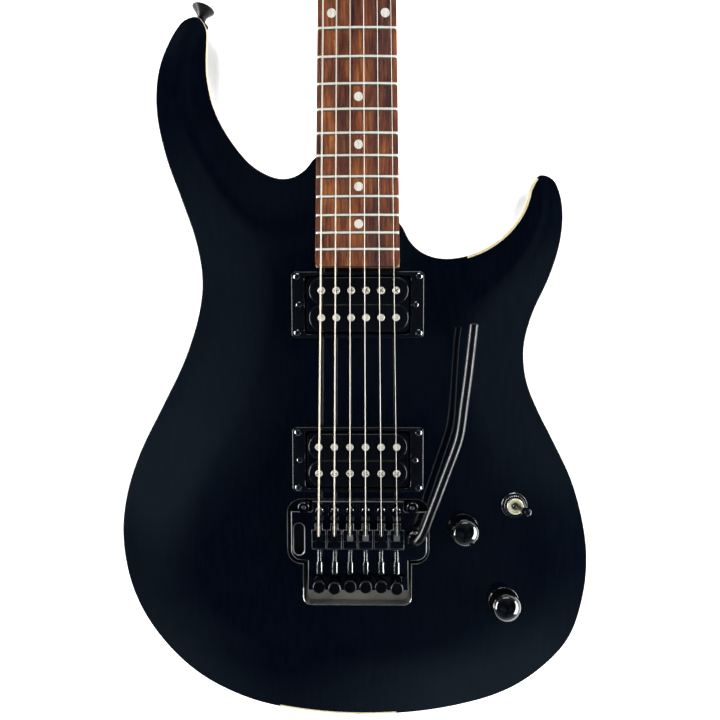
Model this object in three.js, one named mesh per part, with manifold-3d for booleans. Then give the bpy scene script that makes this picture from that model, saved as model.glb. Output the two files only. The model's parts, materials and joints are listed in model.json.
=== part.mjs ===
// An electric guitar with a carved double-cutaway body, a bolt-on neck and a locking tremolo.
// It lies on its back: +X is the treble side, +Y runs along the neck to the headstock, +Z points out of
// the front. The origin is on the flat back, on the centre line. Units are millimetres.

import * as THREE from 'three';
import { mergeVertices } from 'three/addons/utils/BufferGeometryUtils.js';
import Module from 'manifold-3d';

const wasm = await Module();
wasm.setup();

// Driving dimensions
const GAP = 0.3; // left between pieces that touch
const NUT_Y = 720;
const SCALE_LENGTH = 648;
const STRING_COUNT = 6;
const STRING_RADII = [0.53, 0.41, 0.31, 0.21, 0.15, 0.12]; // low to high
const NUT_SPREAD = 35;
const BRIDGE_SPREAD = 52.6;

const RIM_Z = 38; // height of the body's edge
const TOP_Z = 44.5; // height of the middle of the carved top
const CARVE_WIDTH = 55;
const BACK_ROUND = 3;
const OUTLINE_STEPS = 150;

const BOARD_BOTTOM = 47;
const BOARD_TOP = 53;
const BOARD_RADIUS = 406;
const BOARD_END_Y = 242.8;
const BOARD_NUT_WIDTH = 42;
const BOARD_END_WIDTH = 56.4;
const FRET_COUNT = 22;
const FRET_HEIGHT = 1.1;
const FRET_WIDTH = 2.4;

const NECK_TOP = BOARD_BOTTOM - GAP;
const HEEL_BOTTOM = 29;
const SHELF_END_Y = 738; // the nut's shelf ends and the headstock's lower face starts
const HEAD_FRONT = 41;
const HEAD_BACK = 26;
const BUTTON_Z = HEAD_BACK - 7; // height of the tuner buttons' shafts

const NUT_DEPTH = 15;
const NUT_BASE_TOP = 54.4;
const NUT_STRING_Z = 54.7; // underside of the strings at the nut
const SADDLE_STRING_Z = 56.6; // underside of the strings at the saddles
const SADDLE_BREAK_Y = 70;
const STRING_END_Y = 62;

const RETAINER = { y0: 746, y1: 752, bottom: 50.2 };

const RING_SIZE = [89, 44.5];
const RING_HOLE = [71, 39];
const PICKUP_SIZE = [69.6, 37.6];
const NECK_PICKUP = { y: 217.4, ringTop: 50, top: 52.6, poleSpread: 50.3 };
const BRIDGE_PICKUP = { y: 112.6, ringTop: 50.8, top: 53.6, poleSpread: 52.4 };
const POLE_ROW_OFFSET = 9;

const RECESS_FLOOR = 37;
const RECESS_WIDE = [-48.9, 49, 38.2, 83.5, 9.5];
const RECESS_TAIL = [-38, 36.9, 9, 50, 5];
const POST_X = 37.2;
const POST_Y = 79.2;
const POST_NECK_RADIUS = 3.5;
const PLATE_LEFT = -46.4;
const PLATE_RIGHT = 47.6;
const PLATE_END_Y = 41;
const PLATE_BOTTOM = 43.2;
const PLATE_TOP = 46.2;
const FINE_TUNER_Y = 26.5;
const FINE_TUNER_RISES = [0.6, 2.4, 0, 0.4, 0.2, 2.6]; // how far each knob is turned up
const ARM_AT = [38.8, 57.5];

const SPRING_CAVITY_DEPTH = 18;
const COVER_TOP = 2; // covers and the neck plate lie in recesses in the back
const CONTROL_CAVITY_TOP = 36;
const VOLUME_AT = [72.4, 63.4];
const TONE_AT = [101, 11.8];
const SWITCH_AT = [107.5, 80.4];
const SWITCH_TILT = 18; // degrees from upright, towards the treble side
const JACK_AT = [161, 38, 20];
const STRAP_SCREW_LENGTH = 12;
const STRAP_SCREW_RADIUS = 1.9;
const STRAP_BUTTONS = {
  upper: { at: [-110.5, 413.6, 24], along: [0.2, 0.98, 0] },
  lower: { at: [0, -75.4, 13], along: [0, -1, 0] },
};

const HEAD_ANGLE = 14.57; // degrees between the row of tuners and the neck
const FIRST_POST = [-20.9, 762];
const POST_PITCH = 25.9;
const POST_RADIUS = 3.2;
const POST_TOP = 52;

// The edge of the body, from the treble side of the neck round the horn, the bouts and the bass horn
const OUTLINE = [
  [31, 271], [37, 260], [48, 252], [64, 249.6], [84, 254.6], [100, 265], [110.5, 277.5], [116, 290],
  [120, 302.5], [126.3, 306.4], [133.6, 302.4], [138.6, 291], [140.3, 276], [138, 257], [131, 235],
  [121.5, 214], [116, 196], [114.8, 182], [117.4, 164], [125, 145], [136, 123.5], [149.5, 95],
  [158.5, 62], [161, 38], [158.5, 11], [149.5, -17], [132, -38], [105, -56.5], [62, -69.5], [10, -75],
  [-38, -72.6], [-80, -63.3], [-117, -43.5], [-146, -12.5], [-161.5, 19], [-167.3, 56], [-163.5, 86.5],
  [-153.5, 115.5], [-137, 148], [-121, 180.5], [-110.5, 213], [-108, 236], [-112, 262], [-121.5, 290.5],
  [-131.5, 319], [-137.5, 350], [-135.5, 377], [-127.5, 397], [-118, 410], [-110, 413], [-103.8, 409],
  [-102.3, 396], [-102.8, 376], [-98, 351.5], [-86, 329], [-70, 311.5], [-52, 304.2], [-38.5, 308],
  [-30.5, 317], [-24, 321],
];

const materials = {
  gloss_black: new THREE.MeshStandardMaterial({ color: 0x07080a, roughness: 0.08, metalness: 0 }),
  maple: new THREE.MeshStandardMaterial({ color: 0xc79a5e, roughness: 0.45, metalness: 0 }),
  rosewood: new THREE.MeshStandardMaterial({ color: 0x3a2318, roughness: 0.6, metalness: 0 }),
  black_metal: new THREE.MeshStandardMaterial({ color: 0x111214, roughness: 0.25, metalness: 0.9 }),
  black_plastic: new THREE.MeshStandardMaterial({ color: 0x0b0b0c, roughness: 0.35, metalness: 0 }),
  steel: new THREE.MeshStandardMaterial({ color: 0xb8b8b4, roughness: 0.3, metalness: 1 }),
  string_wire: new THREE.MeshStandardMaterial({ color: 0xcfcabb, roughness: 0.35, metalness: 1 }),
  brass: new THREE.MeshStandardMaterial({ color: 0xb59a5c, roughness: 0.3, metalness: 1 }),
};

// ---- Solids ----

function toSolid(geometry) {
  const bare = geometry.clone();
  for (const name of Object.keys(bare.attributes)) {
    if (name !== 'position') bare.deleteAttribute(name);
  }
  const merged = mergeVertices(bare, 1e-4);
  return new wasm.Manifold(new wasm.Mesh({
    numProp: 3,
    vertProperties: new Float32Array(merged.attributes.position.array),
    triVerts: new Uint32Array(merged.index.array),
  }));
}

function toGeometry(solid) {
  const mesh = solid.getMesh();
  const geometry = new THREE.BufferGeometry();
  geometry.setAttribute('position', new THREE.BufferAttribute(new Float32Array(mesh.vertProperties), 3));
  geometry.setIndex(new THREE.BufferAttribute(new Uint32Array(mesh.triVerts), 1));
  geometry.computeVertexNormals();
  return geometry;
}

function join(...geometries) {
  return toGeometry(geometries.map(toSolid).reduce((all, next) => all.add(next)));
}

function cut(geometry, ...tools) {
  return toGeometry(tools.map(toSolid).reduce((left, tool) => left.subtract(tool), toSolid(geometry)));
}

// ---- Shapes ----

function box(x0, x1, y0, y1, z0, z1) {
  const geometry = new THREE.BoxGeometry(x1 - x0, y1 - y0, z1 - z0);
  return geometry.translate((x0 + x1) / 2, (y0 + y1) / 2, (z0 + z1) / 2);
}

function cylinder(x, y, z0, z1, radius, sides = 20) {
  const geometry = new THREE.CylinderGeometry(radius, radius, z1 - z0, sides);
  return geometry.rotateX(Math.PI / 2).translate(x, y, (z0 + z1) / 2);
}

// A profile of [radius, height] points turned round the +Z axis
function turned(profile, sides = 28) {
  const corners = profile.map(([r, h]) => new THREE.Vector2(r, h));
  return new THREE.LatheGeometry(corners, sides).rotateX(Math.PI / 2);
}

// Moves a shape built on the +Z axis so that it starts at a point and runs along a direction
function placed(geometry, { at, along }) {
  const turn = new THREE.Quaternion();
  turn.setFromUnitVectors(new THREE.Vector3(0, 0, 1), new THREE.Vector3(...along).normalize());
  return geometry.applyQuaternion(turn).translate(...at);
}

function prism(shape, z0, z1, curveSegments = 4) {
  const geometry = new THREE.ExtrudeGeometry(shape, { depth: z1 - z0, bevelEnabled: false, curveSegments });
  return geometry.translate(0, 0, z0);
}

function roundedRectangle(x0, x1, y0, y1, radius) {
  const shape = new THREE.Shape();
  shape.absarc(x1 - radius, y1 - radius, radius, 0, Math.PI / 2);
  shape.absarc(x0 + radius, y1 - radius, radius, Math.PI / 2, Math.PI);
  shape.absarc(x0 + radius, y0 + radius, radius, Math.PI, 1.5 * Math.PI);
  shape.absarc(x1 - radius, y0 + radius, radius, 1.5 * Math.PI, 2 * Math.PI);
  shape.closePath();
  return shape;
}

function slab([x0, x1, y0, y1, radius], z0, z1) {
  return prism(roundedRectangle(x0, x1, y0, y1, radius), z0, z1);
}

function polygon(points) {
  return new THREE.Shape(points.map(([x, y]) => new THREE.Vector2(x, y)));
}

// Joins closed rings of equally many points into one solid with flat ends
function loft(rings) {
  const count = rings[0].length;
  const triangles = [];
  for (let ring = 0; ring + 1 < rings.length; ring++) {
    for (let i = 0; i < count; i++) {
      const a = ring * count + i;
      const b = ring * count + ((i + 1) % count);
      triangles.push(a, b, b + count, a, b + count, a + count);
    }
  }
  for (const end of [0, rings.length - 1]) {
    const flat = flatPoints(rings[end]);
    for (const [a, b, c] of THREE.ShapeUtils.triangulateShape(flat, [])) {
      const turn = end === 0 ? [a, c, b] : [a, b, c];
      triangles.push(...turn.map((corner) => corner + end * count));
    }
  }
  const geometry = new THREE.BufferGeometry();
  const corners = rings.flat().flatMap((p) => p.toArray());
  geometry.setAttribute('position', new THREE.Float32BufferAttribute(corners, 3));
  geometry.setIndex(triangles);
  return geometry;
}

// A ring's points in its own plane, counter-clockwise seen from where the loft goes
function flatPoints(ring) {
  const area = (u, v) => ring.reduce((sum, p, i) => {
    const next = ring[(i + 1) % ring.length];
    return sum + p[u] * next[v] - next[u] * p[v];
  }, 0);
  const planes = [['x', 'y'], ['y', 'z'], ['z', 'x']];
  const [u, v] = planes.sort((one, other) => Math.abs(area(...other)) - Math.abs(area(...one)))[0];
  const side = Math.sign(area(u, v));
  return ring.map((p) => new THREE.Vector2(p[u] * side, p[v]));
}

// A round wire that bends at each of its points
function wire(points, radius, sides = 6) {
  const centres = points.map((p) => new THREE.Vector3(...p));
  const rings = centres.map((centre, i) => {
    const before = centres[Math.max(i - 1, 0)];
    const after = centres[Math.min(i + 1, centres.length - 1)];
    const along = after.clone().sub(before).normalize();
    const across = new THREE.Vector3(0, 0, 1).cross(along).normalize();
    const up = along.clone().cross(across);
    return Array.from({ length: sides }, (_, k) => {
      const angle = (2 * Math.PI * k) / sides;
      const place = centre.clone().addScaledVector(across, radius * Math.cos(angle));
      return place.addScaledVector(up, radius * Math.sin(angle));
    });
  });
  return loft(rings);
}

// A round rod along a smooth curve
function rod(points, radius, steps, sides) {
  const circle = new THREE.Shape().absarc(0, 0, radius, 0, 2 * Math.PI);
  const path = new THREE.CatmullRomCurve3(points.map((p) => new THREE.Vector3(...p)), false, 'centripetal');
  return new THREE.ExtrudeGeometry(circle, { steps, extrudePath: path, curveSegments: sides / 2 });
}

function mix(a, b, share) {
  return a + (b - a) * share;
}

// ---- Body ----

function outlineRing() {
  const corners = OUTLINE.map(([x, y]) => new THREE.Vector3(x, y, 0));
  const curve = new THREE.CatmullRomCurve3(corners, true, 'centripetal');
  return curve.getSpacedPoints(OUTLINE_STEPS).slice(1).reverse(); // counter-clockwise from above
}

// How far each point of the ring can move inwards before it meets another part of the ring
function roomInside(ring, inwards) {
  return ring.map((p, i) => {
    let room = Infinity;
    for (const q of ring) {
      const chord = q.clone().sub(p);
      const facing = chord.dot(inwards[i]);
      if (facing > 1e-6) room = Math.min(room, chord.lengthSq() / (2 * facing));
    }
    return room;
  });
}

function bodyBlank() {
  const ring = outlineRing();
  const inwards = ring.map((_, i) => {
    const along = ring[(i + 1) % ring.length].clone().sub(ring[(i + ring.length - 1) % ring.length]);
    return new THREE.Vector3(-along.y, along.x, 0).normalize();
  });
  const room = roomInside(ring, inwards);
  const carved = (distance) => {
    const share = Math.min(1, distance / CARVE_WIDTH);
    return RIM_Z + (TOP_Z - RIM_Z) * Math.sin((Math.PI / 2) * share);
  };
  const inset = (distance, share, height) => ring.map((p, i) => {
    const moved = Math.min(distance, share * room[i]);
    const place = p.clone().addScaledVector(inwards[i], moved);
    place.z = height ?? carved(moved);
    return place;
  });
  return loft([
    inset(BACK_ROUND, 1, 0), inset(0, 1, BACK_ROUND), inset(0, 1, RIM_Z),
    inset(14, 0.75), inset(CARVE_WIDTH, 0.9),
  ]);
}

function body() {
  const pocket = [
    [-neckWidth(330) / 2 - GAP, 330], [-neckWidth(BOARD_END_Y) / 2 - GAP, BOARD_END_Y - GAP],
    [neckWidth(BOARD_END_Y) / 2 + GAP, BOARD_END_Y - GAP], [neckWidth(330) / 2 + GAP, 330],
  ];
  const above = TOP_Z + 5;
  const coverRecess = COVER_TOP + GAP;
  const pickupHole = (y) => box(-39.3, 39.3, y - 19.5, y + 19.5, 25, above);
  const jackHole = placed(cylinder(0, 0, -45, 5, 6.3), { at: JACK_AT, along: [1, 0, 0] });
  const strapScrewHoles = Object.values(STRAP_BUTTONS).map((button) => (
    placed(cylinder(0, 0, -STRAP_SCREW_LENGTH - GAP, 5, STRAP_SCREW_RADIUS + GAP, 10), button)
  ));
  return cut(
    bodyBlank(),
    prism(polygon(pocket), HEEL_BOTTOM - GAP, above),
    pickupHole(NECK_PICKUP.y),
    pickupHole(BRIDGE_PICKUP.y),
    slab(RECESS_WIDE, RECESS_FLOOR, above),
    slab(RECESS_TAIL, RECESS_FLOOR, above),
    box(-31, 31, 42, 76, -1, RECESS_FLOOR + 1),
    slab([-31, 31, 60, 180, 5], -1, SPRING_CAVITY_DEPTH),
    slab([-36.3, 36.3, 37.7, 186.3, 8], -1, coverRecess),
    slab([58, 126, -6, 94, 14], -1, CONTROL_CAVITY_TOP),
    slab([52.7, 131.3, -11.3, 99.3, 18], -1, coverRecess),
    prism(polygon(neckPlateCorners(GAP)), -1, coverRecess),
    cylinder(...VOLUME_AT, CONTROL_CAVITY_TOP - 1, above, 4.1),
    cylinder(...TONE_AT, CONTROL_CAVITY_TOP - 1, above, 4.1),
    cylinder(...SWITCH_AT, CONTROL_CAVITY_TOP - 1, above, 6.2),
    cylinder(-POST_X, POST_Y, 20, RECESS_FLOOR + 1, POST_NECK_RADIUS + GAP),
    cylinder(POST_X, POST_Y, 20, RECESS_FLOOR + 1, POST_NECK_RADIUS + GAP),
    jackHole,
    ...strapScrewHoles,
  );
}

function neckPlateCorners(grow) {
  const side = 24 + grow;
  return [[-side, 250 - grow], [side, 250 - grow], [side, 269 + grow], [-side, 308 + grow]];
}

// ---- Neck ----

function neckWidth(y) {
  return mix(BOARD_NUT_WIDTH, BOARD_END_WIDTH, (NUT_Y - y) / (NUT_Y - BOARD_END_Y));
}

// A cross-section with a flat top: a half ellipse below for power 2, squarer for a higher power
function neckSection(y, bottom, power) {
  const half = neckWidth(Math.min(y, NUT_Y)) / 2;
  const depth = NECK_TOP - bottom;
  const steps = 12;
  return Array.from({ length: steps + 1 }, (_, i) => {
    const angle = (Math.PI * i) / steps;
    const across = Math.sign(Math.cos(angle)) * Math.abs(Math.cos(angle)) ** (2 / power);
    const down = Math.abs(Math.sin(angle)) ** (2 / power);
    return new THREE.Vector3(half * across, y, NECK_TOP - depth * down);
  });
}

function headstockShape() {
  const tip = [
    [24, 790], [26, 840], [26.5, 872], [23, 896], [13, 907], [5, 905], [1.2, 893],
  ];
  const flare = [[-31.6, 766], [-31.6, 754], [-26, 743], [-21, 736], [-20.6, 722]];
  const shape = new THREE.Shape();
  shape.moveTo(20.6, 722);
  shape.splineThru([[21.4, 745], ...tip].map(([x, y]) => new THREE.Vector2(x, y)));
  shape.lineTo(...flare[0]);
  shape.splineThru(flare.slice(1).map(([x, y]) => new THREE.Vector2(x, y)));
  shape.closePath();
  return shape;
}

function neck() {
  const shaft = loft([
    neckSection(BOARD_END_Y, HEEL_BOTTOM, 9),
    neckSection(332, HEEL_BOTTOM, 9),
    neckSection(345, 29.6, 3.5),
    neckSection(365, 31, 2.1),
    neckSection(460, 32, 2),
    neckSection(NUT_Y, 33, 2),
    neckSection(SHELF_END_Y, 31, 2.2),
  ]);
  const postHoles = tunerPlaces().map(([x, y]) => (
    cylinder(x, y, HEAD_BACK - 5, HEAD_FRONT + 5, POST_RADIUS + 0.5, 12)
  ));
  return cut(
    join(shaft, prism(headstockShape(), HEAD_BACK, HEAD_FRONT, 6)),
    box(-3.3, 3.3, 260, 717, 38, NECK_TOP + 1),
    ...postHoles,
  );
}

function boardSection(y, height = 0, narrower = 0) {
  const half = neckWidth(y) / 2 - narrower;
  const top = (x) => BOARD_TOP + height - (x * x) / (2 * BOARD_RADIUS);
  const steps = 4;
  const crown = Array.from({ length: steps + 1 }, (_, i) => {
    const x = mix(-half, half, i / steps);
    return new THREE.Vector3(x, y, top(x));
  });
  const base = height ? BOARD_TOP - 2 : BOARD_BOTTOM;
  return [...crown, new THREE.Vector3(half, y, base), new THREE.Vector3(-half, y, base)];
}

function fingerboard() {
  const frets = Array.from({ length: FRET_COUNT }, (_, i) => {
    const y = NUT_Y - SCALE_LENGTH * (1 - 2 ** (-(i + 1) / 12));
    return loft([y - FRET_WIDTH / 2, y + FRET_WIDTH / 2].map((edge) => boardSection(edge, FRET_HEIGHT, 0.5)));
  });
  return join(loft([boardSection(BOARD_END_Y), boardSection(NUT_Y - GAP)]), ...frets);
}

function nutBase() {
  const clampHoles = [-14, 0, 14].map((x) => cylinder(x, 727.5, 49, 60, 2.3, 12));
  return cut(box(-21, 21, NUT_Y, NUT_Y + NUT_DEPTH, BOARD_BOTTOM, NUT_BASE_TOP), ...clampHoles);
}

function nutClamp(pair) {
  const x = (pair - 1) * 14;
  const bottom = NUT_STRING_Z + 2 * STRING_RADII[2 * pair] + GAP;
  return join(
    box(x - 6, x + 6, NUT_Y + 1.5, NUT_Y + 13.5, bottom, bottom + 4),
    cylinder(x, 727.5, bottom + 3, bottom + 6.5, 3, 12),
    cylinder(x, 727.5, 49.5, bottom + 1, 2, 12),
  );
}

function stringRetainer() {
  return join(
    box(-23, 23, RETAINER.y0, RETAINER.y1, RETAINER.bottom, RETAINER.bottom + 4),
    ...[-21, 21].map((x) => cylinder(x, 749, HEAD_FRONT + GAP, RETAINER.bottom + 1, 1.8, 10)),
  );
}

// ---- Strings ----

function stringX(index, y) {
  const share = (NUT_Y - y) / SCALE_LENGTH;
  return (index / (STRING_COUNT - 1) - 0.5) * mix(NUT_SPREAD, BRIDGE_SPREAD, share);
}

function tunerPlaces() {
  const angle = THREE.MathUtils.degToRad(HEAD_ANGLE);
  return Array.from({ length: STRING_COUNT }, (_, i) => [
    FIRST_POST[0] + i * POST_PITCH * Math.sin(angle),
    FIRST_POST[1] + i * POST_PITCH * Math.cos(angle),
  ]);
}

function stringWire(index) {
  const r = STRING_RADII[index];
  const [postX, postY] = tunerPlaces()[index];
  const postSide = postX + POST_RADIUS + GAP + r;
  const nutEnd = NUT_Y + NUT_DEPTH;
  const behindNut = (y) => mix(stringX(index, nutEnd), postSide, (y - nutEnd) / (postY - nutEnd));
  return wire([
    [stringX(index, STRING_END_Y), STRING_END_Y, SADDLE_STRING_Z + r],
    [stringX(index, SADDLE_BREAK_Y), SADDLE_BREAK_Y, SADDLE_STRING_Z + r],
    [stringX(index, NUT_Y), NUT_Y, NUT_STRING_Z + r],
    [stringX(index, nutEnd), nutEnd, NUT_STRING_Z + r],
    ...[RETAINER.y0 - GAP, RETAINER.y1 + GAP].map((y) => [behindNut(y), y, RETAINER.bottom - GAP - r]),
    [postSide, postY, 47],
    [postSide, postY + 3, 47],
  ], r);
}

// ---- Tuners, built on the first post's place with the row along +Y ----

function tunerHousings() {
  const strip = box(-6, 6, -10, 5 * POST_PITCH + 10, HEAD_BACK - GAP - 2, HEAD_BACK - GAP);
  const cases = Array.from({ length: STRING_COUNT }, (_, i) => {
    const y = i * POST_PITCH;
    return box(-8.5, 6, y - 8, y + 8, HEAD_BACK - 12.5, HEAD_BACK - 1);
  });
  const postHoles = cases.map((_, i) => (
    cylinder(0, i * POST_PITCH, HEAD_BACK - 9, HEAD_BACK, POST_RADIUS + 0.5, 12)
  ));
  const shaftHoles = cases.map((_, i) => (
    placed(cylinder(0, 0, -11, -5, 2.1, 10), { at: [0, i * POST_PITCH, BUTTON_Z], along: [1, 0, 0] })
  ));
  return cut(join(strip, ...cases), ...postHoles, ...shaftHoles);
}

function tunerPost() {
  return turned([
    [0, HEAD_BACK - 8.6], [POST_RADIUS, HEAD_BACK - 8.6], [POST_RADIUS, 45], [2.7, 46], [2.7, 49],
    [POST_RADIUS, 50], [POST_RADIUS, POST_TOP], [0, POST_TOP],
  ], 10);
}

function tunerButton() {
  const paddle = new THREE.Shape().absellipse(0, 0, 6, 9, 0, 2 * Math.PI);
  return join(
    prism(paddle, -3, 3, 8).translate(-24.5, 0, BUTTON_Z),
    placed(cylinder(0, 0, -21, -6, 1.7, 10), { at: [0, 0, BUTTON_Z], along: [1, 0, 0] }),
  );
}

// ---- Pickups ----

function centredRectangle([width, depth], y, radius) {
  return roundedRectangle(-width / 2, width / 2, y - depth / 2, y + depth / 2, radius);
}

function pickupRing({ y, ringTop }) {
  const shape = centredRectangle(RING_SIZE, y, 3);
  shape.holes.push(new THREE.Path(centredRectangle(RING_HOLE, y, 2).getPoints(3)));
  return prism(shape, TOP_Z + GAP, ringTop, 3);
}

function pickup({ y, top, poleSpread }) {
  const poles = [-1, 1].flatMap((row) => Array.from({ length: STRING_COUNT }, (_, i) => {
    const x = (i / (STRING_COUNT - 1) - 0.5) * poleSpread;
    return cylinder(x, y + row * POLE_ROW_OFFSET, top - 1, top + 0.7, 2.4, 8);
  }));
  return join(
    prism(centredRectangle(PICKUP_SIZE, y, 5), 31, top),
    box(-38.5, 38.5, y - 8, y + 8, 29.5, 32),
    ...poles,
  );
}

// ---- Tremolo ----

function bridgePost() {
  return turned([
    [0, 20.5], [POST_NECK_RADIUS, 20.5], [POST_NECK_RADIUS, 46.6], [4.1, 47], [4.1, 49.7], [3.6, 50.2],
    [2, 50.2], [2, 48.6], [0, 48.6],
  ], 12);
}

function basePlate() {
  const knifeY = POST_Y - POST_NECK_RADIUS - GAP;
  const corner = 7;
  const wings = new THREE.Shape();
  wings.moveTo(PLATE_RIGHT, knifeY);
  wings.absarc(PLATE_RIGHT - corner, PLATE_END_Y + corner, corner, 0, -Math.PI / 2, true);
  wings.absarc(PLATE_LEFT + corner, PLATE_END_Y + corner, corner, -Math.PI / 2, -Math.PI, true);
  wings.lineTo(PLATE_LEFT, knifeY);
  const fineTunerHoles = Array.from({ length: STRING_COUNT }, (_, i) => (
    cylinder(saddleX(i), FINE_TUNER_Y, 40, 50, 2, 10)
  ));
  return cut(
    join(
      prism(wings, PLATE_BOTTOM, PLATE_TOP, 4),
      box(-31.5, 31.5, 60, 82.8, PLATE_BOTTOM, PLATE_TOP),
      box(-34.8, 34.8, 19.5, 62, PLATE_BOTTOM, PLATE_TOP),
      box(-33.5, 33.5, 22, 31, PLATE_TOP - 1, 48.6),
    ),
    cylinder(...ARM_AT, PLATE_BOTTOM - 1, PLATE_TOP + 1, 3.6, 16),
    slab([-44.4, -37.4, 45, 67, 3.4], PLATE_BOTTOM - 1, PLATE_TOP + 1),
    ...fineTunerHoles,
  );
}

function saddleX(index) {
  return stringX(index, SADDLE_BREAK_Y);
}

function sustainBlock() {
  return box(-28.5, 28.5, 59, 71.5, 5.5, PLATE_BOTTOM - GAP);
}

function saddles() {
  const floor = PLATE_TOP + GAP;
  const rear = polygon([
    [66.5, floor], [66.5, 56.3], [61, 56.3], [58, 55], [52, 54], [51, 52], [51, floor],
  ]);
  const tower = polygon([[73.5, 47], [73.5, 50], [71.6, 52.4], [SADDLE_BREAK_Y, 56.3], [65, 56.3], [65, 47]]);
  const blocks = Array.from({ length: STRING_COUNT }, (_, i) => {
    const x = saddleX(i);
    return join(
      sideways(rear, x - 4.9, x + 4.9),
      sideways(tower, x - 2.6, x + 2.6),
      box(x - 4.7, x + 4.7, 65, 81.5, floor, 48.4),
      cylinder(x, 77.2, 48, 50.7, 2.5, 12),
      new THREE.CylinderGeometry(2.7, 2.7, 18, 10).translate(x, 43, 50.4),
    );
  });
  const strip = box(saddleX(0), saddleX(STRING_COUNT - 1), 53, 66, floor, floor + 1.5);
  return join(strip, ...blocks);
}

// Extrudes a side view drawn as (y, z) from x0 to x1
function sideways(shape, x0, x1) {
  const turn = new THREE.Matrix4().makeBasis(
    new THREE.Vector3(0, 1, 0), new THREE.Vector3(0, 0, 1), new THREE.Vector3(1, 0, 0),
  );
  return prism(shape, x0, x1).applyMatrix4(turn);
}

function fineTuner() {
  return turned([[0, -7], [1.6, -7], [1.6, 0.5], [4.4, 0.5], [4.4, 6], [3.4, 7], [0, 7.3]], 12);
}

function tremoloArm() {
  const [x, y] = ARM_AT;
  const bar = rod([
    [x, y, 40], [x, y, 54], [x + 1.2, y + 1.9, 57.8], [x + 3.9, y + 6, 59.4], [49.4, 81.7, 61.4],
    [57.3, 104.4, 63.2], [63.6, 122.6, 64.6], [65.7, 129.6, 65], [66.9, 136, 65.4], [68.6, 151, 66.2],
    [71, 172, 67.4], [74.1, 204.5, 69.6],
  ], 3, 30, 8);
  return join(bar, cylinder(x, y, PLATE_TOP + GAP, 51.5, 5.4, 16));
}

function spring() {
  const profile = [[0, 0], [0.8, 0], [0.8, 6], [3.7, 9], [3.7, 76], [0.8, 79], [0.8, 88], [0, 88]];
  return placed(turned(profile, 10), { at: [0, 0, 0], along: [0, 1, 0] });
}

function springClaw() {
  const screws = [-18, 18].map((x) => new THREE.CylinderGeometry(1.8, 1.8, 14, 10).translate(x, 172.5, 10));
  return join(box(-27, 27, 163.5, 166, 4, 16), ...screws);
}

function flatCover(shape) {
  return prism(shape, 0.1, COVER_TOP, 4);
}

function springCover() {
  const shape = roundedRectangle(-36, 36, 38, 186, 8);
  shape.holes.push(new THREE.Path(roundedRectangle(-29, 29, 52, 74, 4).getPoints(3)));
  return flatCover(shape);
}

// ---- Controls ----

function pot() {
  return turned([
    [0, 26], [11, 26], [11, 34], [3.7, 35.4], [3.7, TOP_Z + 2.5], [3.3, TOP_Z + 2.5], [3.3, 28], [0, 28],
  ], 14);
}

function knob() {
  const floor = TOP_Z + 0.4;
  return turned([
    [0, 29], [2.9, 29], [2.9, floor + 4], [8.4, floor + 4], [8.4, floor], [10.1, floor], [10.1, floor + 5],
    [9.9, floor + 9.4], [8.4, floor + 11.9], [5.5, floor + 14.3], [2.8, floor + 15.4], [0, floor + 15.7],
  ], 20);
}

function toggleSwitch() {
  const [x, y] = SWITCH_AT;
  const bushing = turned([
    [0, 30], [5.8, 30], [5.8, TOP_Z + GAP], [8.7, TOP_Z + GAP], [8.7, TOP_Z + 2.3], [5.6, TOP_Z + 2.6],
    [5.6, TOP_Z + 4], [4.6, TOP_Z + 4.2], [3.5, TOP_Z + 0.5], [3.5, TOP_Z - 2.5], [0, TOP_Z - 2.5],
  ], 18).translate(x, y, 0);
  return join(bushing, box(x - 9, x + 9, y - 13, y + 12, 10, 31));
}

function toggleLever() {
  return turned([
    [0, -2], [3, 0], [1.5, 3], [1.5, 8], [2.75, 13], [2.6, 16], [0, 17.7],
  ], 10);
}

function outputJack() {
  const profile = [
    [0, -37], [6, -37], [6, 0.6], [8.6, 0.6], [8.6, 2.4], [3.3, 2.4], [3.3, -30], [0, -30],
  ];
  return placed(turned(profile, 16), { at: JACK_AT, along: [1, 0, 0] });
}

function strapButton() {
  return turned([
    [0, -STRAP_SCREW_LENGTH], [STRAP_SCREW_RADIUS, -STRAP_SCREW_LENGTH], [STRAP_SCREW_RADIUS, 0], [5.5, 0],
    [5.5, 1.3], [3.3, 3], [3.1, 7.4], [7.8, 12.4], [7.9, 13.4], [7, 14.4], [0, 14.4],
  ], 16);
}

// ---- Assembly ----

const guitar = new THREE.Group();

function add(name, geometry, material, parent = guitar) {
  const mesh = new THREE.Mesh(geometry, material);
  mesh.name = name;
  parent.add(mesh);
  return mesh;
}

add('body', body(), materials.gloss_black);
add('neck', neck(), materials.maple);
add('fingerboard', fingerboard(), materials.rosewood);
add('truss_rod', box(-3, 3, 262, 715, 38.3, NECK_TOP - 1), materials.steel);
add('neck_plate', flatCover(polygon(neckPlateCorners(0))), materials.black_metal);
add('nut_base', nutBase(), materials.black_metal);
['bass', 'middle', 'treble'].forEach((side, pair) => {
  add(`nut_clamp_${side}`, nutClamp(pair), materials.black_metal);
});
add('string_retainer', stringRetainer(), materials.black_metal);

add('neck_pickup_ring', pickupRing(NECK_PICKUP), materials.black_plastic);
add('neck_pickup', pickup(NECK_PICKUP), materials.black_plastic);
add('bridge_pickup_ring', pickupRing(BRIDGE_PICKUP), materials.black_plastic);
add('bridge_pickup', pickup(BRIDGE_PICKUP), materials.black_plastic);

for (let i = 0; i < STRING_COUNT; i++) {
  add(`string_${i + 1}`, stringWire(i), materials.string_wire);
}

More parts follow.
